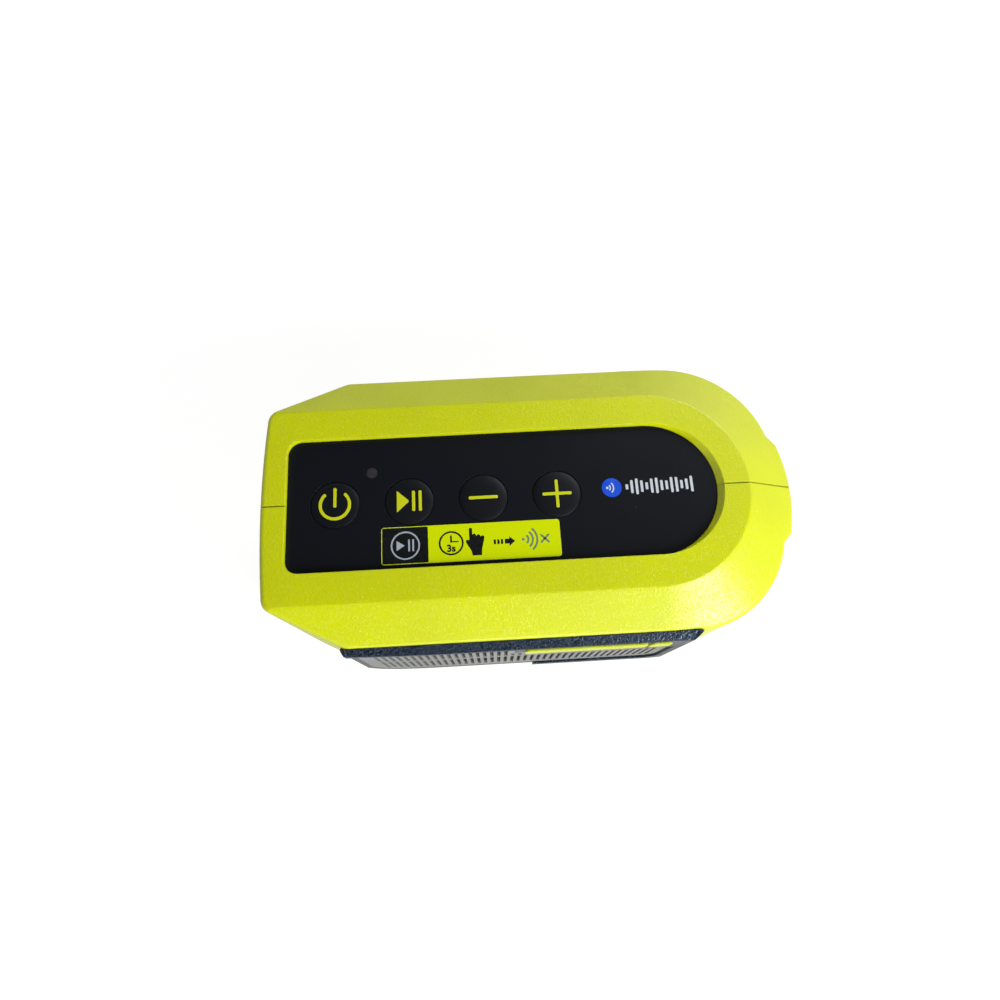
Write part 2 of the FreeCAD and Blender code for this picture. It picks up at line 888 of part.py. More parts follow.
def seam_groove(form, pod_outline):
    """The narrow groove that marks the parting line round the outside."""
    inner_outline = grown("seam_inner", pod_outline, -d.seam_depth)
    inner_walls = prism("seam_inner_walls", inner_outline, 0, d.housing_height)
    lowered = doc.addObject("App::Link", "seam_lowered_form")
    lowered.LinkedObject = form
    place(lowered, 0, 0, -d.seam_depth)
    raised = block(
        "seam_base",
        (-d.left_reach - d.wall, d.right_reach - d.wall),
        (-d.wall, d.wall),
        (d.seam_depth, d.floor_wall),
    )
    core = fuse("seam_core", [common("seam_inner_form", lowered, inner_walls), raised])
    slab = block(
        "seam_slab",
        (-d.left_reach - d.roof_margin, d.end_pad_reach + d.roof_margin),
        (-d.seam_width / 2, d.seam_width / 2),
        (-d.seam_depth, d.housing_height + d.seam_depth),
    )
    return cut("seam_groove", slab, core)


def half_shell(name, front, form, cavity, additions, openings):
    """One half of the hollow housing, with its bosses and ribs added and its openings cut."""
    far = d.half_depth + d.roof_margin
    room = block(
        name + "_half",
        (-d.left_reach - d.roof_margin, d.end_pad_reach + d.roof_margin),
        (-far, 0) if front else (0, far),
        (-d.wall, d.housing_height + d.wall),
    )
    skin = cut(name + "_skin", common(name + "_block", form, room), cavity)
    inside = common(name + "_inside", fuse(name + "_additions", additions), form)
    return piece(cut(name, fuse(name + "_joined", [skin, inside]), *openings), name)


def trap_ribs(name, side):
    """Two ribs that hold the battery socket's flange down on the floor."""
    low = d.floor_wall + d.socket_flange_thickness + d.part_gap / 3
    inner = d.socket_depth / 2 + d.socket_wall + d.socket_gap * 2
    outer = d.wall_face + d.wall / 2
    depth = (-outer, -inner) if side < 0 else (inner, outer)
    half = d.trap_rib_thickness / 2
    places = (d.socket_across - d.socket_length / 4, d.socket_across + d.socket_length / 4)
    return [
        block(f"{name}_{index}", (across - half, across + half), depth, (low, low + d.boss_radius * 2))
        for index, across in enumerate(places)
    ]


def shells():
    form = pod_form()
    pod_outline = outline("housing_outline", pod_path())
    cavity = prism("cavity", grown("cavity_outline", pod_outline, -d.wall), d.floor_wall, d.cavity_top)
    panel_outline = outline("panel_outline", panel_path())
    recess_outline = grown("recess_outline", panel_outline, d.panel_gap)
    recess = prism("panel_recess", recess_outline, d.ledge_top, d.housing_height + d.wall)
    opening_outline = grown("opening_outline", panel_outline, -d.ledge_width)
    opening = prism("panel_opening", opening_outline, d.cavity_top - d.wall, d.ledge_top + d.wall)
    mouth_outline = outline("mouth_outline", socket_path(d.socket_wall + d.socket_gap))
    mouth = prism("floor_mouth", mouth_outline, -d.wall, d.floor_wall + d.wall)
    groove = seam_groove(form, pod_outline)

    reach = d.half_depth
    screws = screw_places()
    bosses = rods("front_boss", d.boss_radius, reach, screws, 0, AHEAD)
    pilot_depth = d.screw_length - d.screw_seat + d.pilot_extra
    pilots = rods("front_pilot", d.screw_radius + d.screw_thread_gap, pilot_depth, screws, 0, AHEAD)
    bolts = driver_bolt_places()
    pad_length = d.gasket_thickness + d.wall / 2
    pads = rods("driver_pad", d.boss_radius - d.part_gap, pad_length, bolts, -d.frame_front, AHEAD)
    small_pilot = d.small_screw_radius + d.screw_thread_gap
    pad_depth = pad_length + d.wall / 4
    driver_pilots = rods("driver_pilot", small_pilot, pad_depth, bolts, -d.frame_front, AHEAD)
    middle = [(-d.driver_across, d.driver_height)]
    sound_hole = rods("sound_hole", d.driver_opening, d.wall * 3, middle, d.wall - d.wall_face, AHEAD)
    bezel_hole = d.bezel_screw_radius + d.screw_clear_gap
    inside_face = d.wall / 2 - d.wall_face
    bezel_holes = rods("bezel_hole", bezel_hole, d.wall * 2, bezel_screw_places(), inside_face, AHEAD)
    peg_hole = d.bezel_peg_radius + d.screw_thread_gap
    peg_holes = rods("peg_hole", peg_hole, d.wall * 2, bezel_peg_places(), inside_face, AHEAD)
    openings = [recess, opening, mouth, groove]
    half_shell(
        "front_shell", True, form, cavity,
        bosses + pads + trap_ribs("front_trap", -1),
        openings + pilots + driver_pilots + sound_hole + bezel_holes + peg_holes,
    )

    well = d.screw_head_radius + d.part_gap
    bosses = rods("rear_boss", d.screw_head_radius + d.wall / 2, reach, screws, 0, BACKWARD)
    hole_length = d.screw_seat + d.wall
    free_holes = rods(
        "free_hole", d.screw_radius + d.screw_free_gap, hole_length, screws, -d.wall, BACKWARD
    )
    head_wells = rods("head_well", well, reach, screws, d.screw_seat, BACKWARD)
    board_back = d.main_board_depth + d.board_thickness
    corners = main_post_places()
    posts = rods("main_post", d.main_post_radius, reach - board_back, corners, board_back, BACKWARD)
    post_pilots = rods("main_pilot", small_pilot, d.wall * 3, corners, board_back, BACKWARD)
    half_shell(
        "rear_shell", False, form, cavity,
        bosses + posts + trap_ribs("rear_trap", 1),
        openings + free_holes + head_wells + post_pilots,
    )
    return panel_outline


def housing_screws():
    model = screw(
        "housing_screw", d.screw_radius, d.screw_length, d.screw_head_radius, d.screw_head_height
    )
    places = [(across, d.screw_seat, up) for across, up in screw_places()]
    piece(copies("housing_screws", model, places, BACKWARD), "housing_screws")


# Control panel, keys and key board

KEYS = ["power", "play", "volume_down", "volume_up"]

# Rounding of a symbol's ends, as a share of its stroke
BAR_END_ROUND = 0.4
RING_END_ROUND = 0.55


def key_place(index):
    return index * d.key_pitch - d.first_key


def post_places():
    return [
        (across, side * d.post_depth)
        for across in (-d.post_left, d.post_right)
        for side in (-1, 1)
    ]


def control_panel(panel_outline):
    slab = prism("panel_slab", panel_outline, d.panel_under, d.panel_top)
    foot = d.key_board_top
    post_length = d.panel_under - foot
    pilot = d.small_screw_radius + d.screw_thread_gap
    posts = []
    holes = []
    for index, (across, depth) in enumerate(post_places()):
        posts.append(rod(f"panel_post_{index}", d.post_radius, post_length, across, depth, foot))
        holes.append(rod(f"panel_pilot_{index}", pilot, post_length, across, depth, foot))
    low = d.panel_under - d.wall / 4
    through = d.panel_thickness * 2
    for index in range(len(KEYS)):
        holes.append(rod(f"key_hole_{index}", d.key_radius + d.key_gap, through, key_place(index), 0, low))
    window = d.light_radius + d.light_gap
    holes.append(rod("light_hole", window, through, -d.light_across, d.light_depth, low))
    body = fuse("panel_with_posts", [slab] + posts)
    piece(cut("control_panel", body, *holes), "control_panel")


def panel_adhesive(panel_outline):
    """The ring of double-sided tape that holds the panel down on the housing's ledge."""
    outer_outline = grown("adhesive_outer_outline", panel_outline, -d.part_gap)
    inner_outline = grown("adhesive_inner_outline", panel_outline, -d.part_gap - d.adhesive_width)
    outer = prism("adhesive_outer", outer_outline, d.ledge_top, d.panel_under)
    inner = prism("adhesive_inner", inner_outline, d.ledge_top - d.wall, d.panel_under + d.wall)
    piece(cut("panel_adhesive", outer, inner), "panel_adhesive")


def status_light():
    """The round lens in the panel, and the light chip under it on the key board."""
    foot = d.key_board_top + d.light_chip_height + d.light_gap
    lens = rod("status_lens", d.light_radius, d.panel_top - foot, -d.light_across, d.light_depth, foot)
    piece(lens, "status_lens")
    half = d.light_radius * 0.7
    chip = block(
        "status_light",
        (-d.light_across - half, half - d.light_across),
        (d.light_depth - half / 2, d.light_depth + half / 2),
        (d.key_board_top, d.key_board_top + d.light_chip_height),
    )
    piece(chip, "status_light")


def symbol_bar(name, left, low, right, high):
    """A bar with rounded ends, in the key's own plane."""
    corners = [d.symbol_stroke * BAR_END_ROUND] * 4
    return plate(name, rounded_box(left, low, right, high, corners), d.symbol_depth + d.symbol_rise)


def power_symbol():
    """An open ring with rounded ends, and a bar that stands in its opening."""
    half = d.symbol_stroke / 2
    outer = d.ring_radius
    inner = outer - d.symbol_stroke
    end = d.symbol_stroke * RING_END_ROUND
    across = sine(d.ring_opening / 2)
    along = cosine(d.ring_opening / 2)
    ring = [
        (outer * across, outer * along, -outer),
        (outer, 0, -outer),
        (0, -outer, -outer),
        (-outer, 0, -outer),
        (-outer * across, outer * along, -end),
        (-inner * across, inner * along, inner),
        (-inner, 0, inner),
        (0, -inner, inner),
        (inner, 0, inner),
        (inner * across, inner * along, -end),
    ]
    ring_plate = plate("power_ring", ring, d.symbol_depth + d.symbol_rise)
    top = outer + half
    return [ring_plate, symbol_bar("power_bar", -half, top - d.ring_bar_length, half, top)]


def play_symbol():
    """An arrow head with a blunted tip, and two upright bars."""
    stroke = d.symbol_stroke
    tall = d.arrow_height / 2
    left = -(d.arrow_width + d.pause_gap * 2 + stroke * 2) / 2
    tip = left + d.arrow_width
    blunt = stroke / 4
    arrow = [
        (left, -tall), (left + blunt, -tall), (tip, -blunt),
        (tip, blunt), (left + blunt, tall), (left, tall),
    ]
    first = tip + d.pause_gap
    second = first + stroke + d.pause_gap
    return [
        plate("play_arrow", arrow, d.symbol_depth + d.symbol_rise),
        symbol_bar("pause_left", first, -tall, first + stroke, tall),
        symbol_bar("pause_right", second, -tall, second + stroke, tall),
    ]


def plus_symbol():
    """A cross whose four ends are rounded."""
    half = d.symbol_stroke / 2
    span = d.cross_span / 2
    end = d.symbol_stroke * BAR_END_ROUND
    cross = [
        (end - span, -half), (-half, -half),
        (-half, end - span, end), (end - half, -span), (half - end, -span, end), (half, end - span),
        (half, -half),
        (span - end, -half, end), (span, end - half), (span, half - end, end), (span - end, half),
        (half, half),
        (half, span - end, end), (half - end, span), (end - half, span, end), (-half, span - end),
        (-half, half),
        (end - span, half, end), (-span, half - end), (-span, end - half, end),
    ]
    return [plate("plus_cross", cross, d.symbol_depth + d.symbol_rise)]


def symbol_shapes(name):
    """The raised symbol of one key, as a list of solids about the key's own middle."""
    if name == "power":
        return power_symbol()
    if name == "play":
        return play_symbol()
    if name == "volume_up":
        return plus_symbol()
    half = d.symbol_stroke / 2
    span = d.cross_span / 2
    return [symbol_bar("minus_bar", -span, -half, span, half)]


def key(index, name):
    """One key: its cap, the symbol moulded into it and the plunger of its push switch."""
    across = key_place(index)
    radius = d.key_radius
    flange = radius + d.key_gap + d.key_flange_width
    flange_top = -d.panel_thickness - d.key_flange_gap
    flange_foot = flange_top - d.key_flange_thickness
    stem_foot = d.key_stem_foot - d.panel_top
    cap = turned(
        f"{name}_cap",
        [
            (0, stem_foot),
            (d.key_stem_radius, stem_foot),
            (d.key_stem_radius, flange_foot),
            (flange, flange_foot),
            (flange, flange_top),
            (radius, flange_top),
            (radius, d.key_rise - d.key_shoulder, d.key_shoulder),
            (radius - d.key_shoulder, d.key_rise),
            (0, d.key_rise),
        ],
    )
    place(cap, across, 0, d.panel_top)
    shapes = symbol_shapes(name)
    for shape in shapes:
        place(shape, across, 0, d.panel_top + d.key_rise - d.symbol_depth)
    symbol = shapes[0] if len(shapes) == 1 else group(f"{name}_symbol_parts", shapes)
    piece(cut(f"{name}_button", cap, symbol), f"{name}_button")
    piece(symbol, f"{name}_symbol")
    plunger = rod(
        f"{name}_plunger", d.plunger_radius, d.plunger_length, across, 0,
        d.key_stem_foot - d.plunger_length,
    )
    piece(plunger, f"{name}_plunger")


def key_board():
    """The circuit board under the panel, its push switches and the screws that hold it."""
    half = d.key_board_half_depth
    path = rounded_box(-d.key_board_left, -half, d.key_board_right, half, [d.board_corner] * 4)
    hole = d.small_screw_radius + d.screw_clear_gap
    holes = [(across, depth, hole) for across, depth in post_places()]
    board = plate("key_board", path, d.board_thickness, circles=holes)
    piece(place(board, 0, 0, d.key_board_under), "key_board")

    half = d.switch_side / 2
    switch = plate(
        "switch_body", [(-half, -half), (half, -half), (half, half), (-half, half)], d.switch_height
    )
    doc.recompute()
    well = body_sketch(
        switch, "XY_Plane", "switch_well", circles=[(0, 0, d.plunger_radius + d.plunger_gap)],
        lift=d.switch_height,
    )
    pocket(switch, well, d.plunger_length - d.plunger_rise + d.key_travel + d.plunger_room)
    places = [(key_place(i), 0, d.key_board_top) for i in range(len(KEYS))]
    piece(copies("key_switches", switch, places), "key_switches")

    model = screw(
        "small_screw", d.small_screw_radius, d.small_screw_length,
        d.small_screw_head_radius, d.small_screw_head_height,
    )
    under = FreeCAD.Rotation(FreeCAD.Vector(1, 0, 0), 180)
    places = [(across, depth, d.key_board_under) for across, depth in post_places()]
    piece(copies("key_board_screws", model, places, under), "key_board_screws")
    return model


def sticker():
    path = rounded_box(
        -d.sticker_left, -d.sticker_front, d.sticker_right, d.sticker_depth - d.sticker_front,
        [d.sticker_corner] * 4,
    )
    label = plate("instruction_label", path, d.sticker_thickness)
    piece(place(label, 0, 0, d.panel_top), "instruction_label")


# Front bezel, grille, dust cloth and accents

def front_prism(name, path, start, end):
    """A solid between two depths, from an outline seen from the front. Depths count forwards."""
    return prism(name, outline(name + "_outline", path, AHEAD), start, end, (0, -1, 0))


def curved_plan(name, left, right, left_slant, right_slant, rise, left_rise, curve_start):
    """A solid whose plan has a flat front that curves back towards its left end."""
    base = d.half_depth
    run = left - left_slant - curve_start
    drop = rise - left_rise
    radius = (run * run + drop * drop) / (drop * 2)
    path = [
        (-left, -base + d.wall),
        (-left, -base),
        (left_slant - left, -base - left_rise, radius),
        (-curve_start, -base - rise),
        (right - right_slant, -base - rise),
        (right, -base),
        (right, -base + d.wall),
    ]
    return prism(name, outline(name + "_outline", path), 0, d.housing_height)


def grille_path(growth):
    left = -d.grille_left - growth
    right = d.grille_right + growth
    low = d.grille_low - growth
    corner = d.grille_corner + growth
    small = d.grille_small_corner + growth
    badge = d.badge_left + growth
    step = d.badge_low + growth
    high = d.grille_high + growth
    return [
        (left + corner, low),
        (right - small, low, small),
        (right, low + small),
        (right, step),
        (badge, step),
        (badge, high),
        (left, high),
        (left, low + corner, corner),
    ]


def accent_paths(growth):
    """The long bar and the short pill, both with rounded corners."""
    low = d.accent_low - growth
    high = d.accent_low + d.accent_height + growth
    corner = d.accent_corner + growth
    pill_left = d.accent_left + d.accent_length + d.accent_gap
    spans = [
        (d.accent_left, d.accent_left + d.accent_length),
        (pill_left, pill_left + d.accent_pill_length),
    ]
    return [rounded_box(left - growth, low, right + growth, high, [corner] * 4) for left, right in spans]


def front_bezel(bezel_plan, grille_plan):
    """The dark frame on the housing's front, with the badge field in its upper right corner."""
    base = d.half_depth
    corner = d.bezel_top_corner
    face = rounded_box(
        -d.bezel_left, d.bezel_low, d.bezel_right, d.bezel_high,
        [d.bezel_corner, d.bezel_small_corner, corner, corner],
    )
    far = base + d.bezel_rise + d.wall
    bezel_block = common("bezel_block", front_prism("bezel_face", face, base, far), bezel_plan)
    window = front_prism("bezel_window", grille_path(d.grille_gap), base - d.wall, far)
    flange_front = base + d.cloth_thickness + d.grille_gap * 2 + d.grille_flange_thickness
    rebate_path = grille_path(d.grille_gap + d.grille_flange)
    rebate = front_prism("bezel_rebate", rebate_path, base - d.wall, flange_front)
    low_step = cut(
        "bezel_step",
        block(
            "bezel_step_block",
            (-d.bezel_left - d.wall, d.lip_start),
            (-far, -base),
            (d.bezel_low - d.wall, d.grille_high - d.grille_flange),
        ),
        grille_plan,
    )
    ramp_path = [
        (d.badge_left, -base - d.grille_rise),
        (d.badge_left, -far),
        (d.badge_left + d.badge_ramp, -far),
        (d.badge_left + d.badge_ramp, -base - d.bezel_rise),
    ]
    ramp = prism("badge_ramp", outline("ramp_outline", ramp_path), d.badge_low, d.grille_high)
    recess_front = base + d.bezel_rise - d.accent_sink
    recesses = [
        front_prism(f"accent_recess_{i}", path, recess_front, far)
        for i, path in enumerate(accent_paths(d.screw_thread_gap))
    ]
    pilot = d.bezel_screw_radius + d.screw_thread_gap
    pilot_depth = d.bezel_left_rise - d.part_gap
    pilots = rods("bezel_pilot", pilot, pilot_depth, bezel_screw_places(), -base, AHEAD)
    peg_start = -base - d.bezel_left_rise / 2
    peg_length = d.wall + d.bezel_left_rise / 2
    pegs = rods("bezel_peg", d.bezel_peg_radius, peg_length, bezel_peg_places(), peg_start, BACKWARD)
    tools = [window, rebate, low_step, ramp] + recesses + pilots
    frame = cut("bezel_frame", bezel_block, *tools)
    piece(fuse("front_bezel", [frame] + pegs), "front_bezel")


def speaker_grille(grille_plan):
    """The grille's curved plate with its thin flange, cut through by columns of upright slots."""
    base = d.half_depth
    far = base + d.bezel_rise + d.wall
    back = base + d.cloth_thickness + d.grille_gap / 2
    sheet = front_prism("grille_sheet", grille_path(as_size(0)), back, far)
    curved = common("grille_curved", sheet, grille_plan)
    flange_front = back + d.grille_flange_thickness
    flange = front_prism("grille_flange", grille_path(d.grille_flange), back, flange_front)
    solid = fuse("grille_solid", [curved, flange])

    width = (-d.slot_start, d.slot_width - d.slot_start)
    second_row = d.slot_low + d.slot_row_pitch
    tall = block("tall_slot", width, (-far, 0), (d.slot_low, d.slot_low + d.slot_height))
    short = block("short_slot", width, (-far, 0), (second_row, d.badge_low - d.slot_top_margin))
    span = d.slot_start.number + d.grille_right.number - d.slot_pitch.number
    tall_places = []
    short_places = []
    for column in range(int(round(span / d.slot_pitch.number))):
        across = column * d.slot_pitch - d.slot_start
        tall_places.append((across, -far, d.slot_low))
        if (across + d.slot_pitch).number > d.badge_left.number:
            short_places.append((across, -far, second_row))
        else:
            tall_places.append((across, -far, second_row))
    slots = [copies("tall_slots", tall, tall_places), copies("short_slots", short, short_places)]
    piece(cut("speaker_grille", solid, *slots), "speaker_grille")


def accents():
    front = d.half_depth + d.bezel_rise - d.accent_sink
    bars = [
        front_prism(f"accent_{i}", path, front, front + d.accent_thickness)
        for i, path in enumerate(accent_paths(as_size(0)))
    ]
    piece(group("accent_bars", bars), "accent_bars")


def front_pieces():
    """The bezel with its screws, the grille, the cloth behind it and the accents."""
    ends = (d.bezel_left, d.bezel_right, d.bezel_left_slant, d.bezel_right_slant)
    bezel_plan = curved_plan("bezel_plan", *ends, d.bezel_rise, d.bezel_left_rise, d.bezel_curve_start)
    grille_plan = curved_plan("grille_plan", *ends, d.grille_rise, d.grille_left_rise, d.grille_curve_start)
    front_bezel(bezel_plan, grille_plan)
    speaker_grille(grille_plan)
    base = d.half_depth
    cloth = front_prism("dust_cloth", grille_path(-d.cloth_margin), base, base + d.cloth_thickness)
    piece(cloth, "dust_cloth")
    accents()
    model = screw(
        "bezel_screw", d.bezel_screw_radius, d.wall + d.bezel_left_rise - d.part_gap * 2,
        d.small_screw_head_radius - d.part_gap, d.small_screw_head_height,
    )
    places = [(across, -d.wall_face, up) for across, up in bezel_screw_places()]
    piece(copies("bezel_screws", model, places, BACKWARD), "bezel_screws")


# Loudspeaker. Its pieces are turned about an upright axis and then laid forwards: their own zero lies on
# the inside of the front wall, and heights count towards the front.

def lay_driver(thing, label):
    return piece(place(thing, -d.driver_across, -d.wall_face, d.driver_height, AHEAD), label)


def ring(name, inner, outer, low, high):
    return turned(name, [(inner, low), (outer, low), (outer, high), (inner, high)])


def frame_openings():
    """Two bars that cross on the diagonals, and cut the four windows between the frame's legs."""
    share = sine(as_size(45))
    outer = (d.driver_flange / 2 + d.frame_waist / 2) * share
    inner = (d.driver_flange / 2 - d.frame_waist / 2) * share
    bars = [
        [(-inner, -outer), (outer, inner), (inner, outer), (-outer, -inner)],
        [(inner, -outer), (outer, -inner), (-inner, outer), (-outer, inner)],
    ]
    back = d.wall_face - d.frame_shelf_depth + d.frame_wall
    openings = []
    for index, bar in enumerate(bars):
        path = [(across - d.driver_across, up + d.driver_height) for across, up in bar]
        front = back + d.frame_shelf_depth * d.frame_window_share
        openings.append(front_prism(f"frame_window_{index}", path, back, front))
    return openings


def loudspeaker(small_screw):
    front = -d.gasket_thickness
    back = front - d.driver_flange_thickness
    shelf = -d.frame_shelf_depth
    bottom = -d.frame_depth
    wall = d.frame_wall
    rim = d.surround_outer
    waist = d.frame_waist
    half = d.driver_flange / 2
    bolt = d.driver_bolt_offset
    lay_driver(ring("driver_gasket", d.gasket_inner, d.gasket_outer, front, 0), "driver_gasket")

    flange = plate(
        "frame_flange",
        rounded_box(-half, -half, half, half, [d.driver_flange_corner] * 4),
        d.driver_flange_thickness,
        circles=[(0, 0, rim)] + [
            (side * bolt, rise * bolt, d.small_screw_radius + d.screw_free_gap)
            for side in (-1, 1) for rise in (-1, 1)
        ],
    )
    place(flange, -d.driver_across, -d.wall_face - back, d.driver_height, AHEAD)
    lip = d.surround_lip
    lip_top = front - d.surround_thickness
    basket = turned(
        "frame_basket",
        [
            (rim - lip, lip_top),
            (rim - lip, lip_top - wall),
            (waist - wall + lip, shelf),
            (waist - lip, shelf),
            (waist - lip, shelf - wall),
            (waist - wall, shelf - wall),
            (waist - wall, bottom),
            (waist, bottom),
            (waist, shelf - wall),
            (waist + lip, shelf),
            (rim + wall, back - wall),
            (rim + wall, back),
            (rim, back + wall / 2),
            (rim, lip_top),
        ],
    )
    place(basket, -d.driver_across, -d.wall_face, d.driver_height, AHEAD)
    piece(cut("driver_frame", fuse("frame_joined", [flange, basket]), *frame_openings()), "driver_frame")

    plate_back = bottom - d.top_plate_thickness
    magnet_back = plate_back - d.magnet_thickness
    coil_inner = d.pole_radius + d.coil_gap
    coil_outer = coil_inner + d.former_thickness + d.winding_thickness
    gap_outer = coil_outer + d.coil_gap
    lay_driver(ring("top_plate", gap_outer, d.top_plate_radius, plate_back, bottom), "top_plate")
    lay_driver(ring("ring_magnet", d.magnet_inner, d.magnet_radius, magnet_back, plate_back), "ring_magnet")
    foot = magnet_back - d.back_plate_thickness
    yoke = turned(
        "back_plate",
        [
            (0, foot), (d.top_plate_radius, foot), (d.top_plate_radius, magnet_back),
            (d.pole_radius, magnet_back), (d.pole_radius, bottom), (0, bottom),
        ],
    )
    lay_driver(yoke, "back_plate")

    middle = bottom - d.top_plate_thickness / 2
    winding_top = middle + d.winding_length / 2
    former_foot = winding_top - d.winding_length - d.part_gap
    former_top = former_foot + d.former_length
    former_outer = coil_inner + d.former_thickness
    lay_driver(ring("coil_former", coil_inner, former_outer, former_foot, former_top), "coil_former")
    winding = ring("coil_winding", former_outer, coil_outer, winding_top - d.winding_length, winding_top)
    lay_driver(winding, "coil_winding")
    rim_back = lip_top - d.surround_thickness
    neck = rim_back - d.cone_neck_depth
    thick = d.cone_thickness
    cone = turned(
        "cone",
        [
            (former_outer, neck - thick),
            (former_outer + thick, neck - thick),
            (d.cone_radius - d.cone_rim, rim_back - thick),
            (d.cone_radius, rim_back - thick),
            (d.cone_radius, rim_back),
            (d.cone_radius - d.cone_rim, rim_back),
            (former_outer, neck + thick),
        ],
    )
    lay_driver(cone, "cone")
    start = d.cone_radius - d.cone_rim
    roll_start = d.cone_radius
    roll_end = rim - lip
    lip_face = rim_back + d.surround_thickness
    roll = (roll_end - roll_start) / 2
    roll_height = d.surround_roll
    roll_flat = d.surround_thickness / 2
    surround = turned(
        "cone_surround",
        [
            (start, rim_back),
            (roll_start + d.surround_thickness, rim_back),
            (roll_start + roll, rim_back + roll_height),
            (roll_end - d.surround_thickness, lip_top),
            (rim - d.light_gap, lip_top),
            (rim - d.light_gap, front),
            (roll_end, front),
            (roll_start + roll + roll_flat, lip_face + roll_height),
            (roll_start + roll - roll_flat, lip_face + roll_height),
            (roll_start, lip_face),
            (start, lip_face),
        ],
    )
    lay_driver(surround, "cone_surround")
    cap_radius = former_outer + thick + d.cone_rim
    slope = (rim_back - neck - thick) / (d.cone_radius - d.cone_rim - former_outer)
    cap_foot = neck + thick + (cap_radius - former_outer) * slope
    cap_rise = d.dust_cap_rise
    inner_rise = cap_rise - d.surround_thickness
    inner_radius = cap_radius - d.surround_thickness
    bulge = (cap_radius * cap_radius + cap_rise * cap_rise) / (cap_rise * 2)
    inner_bulge = (inner_radius * inner_radius + inner_rise * inner_rise) / (inner_rise * 2)
    cap = turned(
        "dust_cap",
        [
            (inner_radius, cap_foot),
            (cap_radius, cap_foot, bulge),
            (0, cap_foot + cap_rise),
            (0, cap_foot + inner_rise, -inner_bulge),
        ],
    )
    lay_driver(cap, "dust_cap")
    spider = turned(
        "spider",
        [
            (former_outer + d.light_gap, shelf),
            (waist - d.part_gap, shelf),
            (waist - d.part_gap, shelf + d.spider_thickness),
            (former_outer + d.light_gap, shelf + d.spider_thickness),
        ],
    )
    lay_driver(spider, "spider")
    flange_back = d.driver_flange_thickness - d.frame_front
    places = [(across, flange_back, up) for across, up in driver_bolt_places()]
    piece(copies("driver_screws", small_screw, places, BACKWARD), "driver_screws")
    strip = block(
        "terminal_strip",
        (-d.driver_across - d.blade_width, d.blade_width - d.driver_across),
        (flange_back, flange_back + d.board_thickness),
        (d.driver_height - half, d.driver_height - half + d.frame_wall * 2),
    )
    piece(strip, "terminal_strip")


# Main board and what it carries

def main_board(small_screw):
    path = [
        (-d.main_board_left, d.main_board_low), (d.main_board_right, d.main_board_low),
        (d.main_board_right, d.main_board_high), (-d.main_board_left, d.main_board_high),
    ]
    hole = d.small_screw_radius + d.screw_clear_gap
    holes = [(across, up, hole) for across, up in main_post_places()]
    board = plate("main_board", path, d.board_thickness, circles=holes, role="XZ_Plane")
    piece(place(board, 0, d.main_board_depth + d.board_thickness, 0), "main_board")
    places = [(across, d.main_board_depth, up) for across, up in main_post_places()]
    piece(copies("main_board_screws", small_screw, places, AHEAD), "main_board_screws")


def on_board(name, left, low, right, high, height):
    """A square part that stands on the front face of the main board."""
    front = d.main_board_depth - height
    return block(name, (left, right), (front, d.main_board_depth), (low, high))


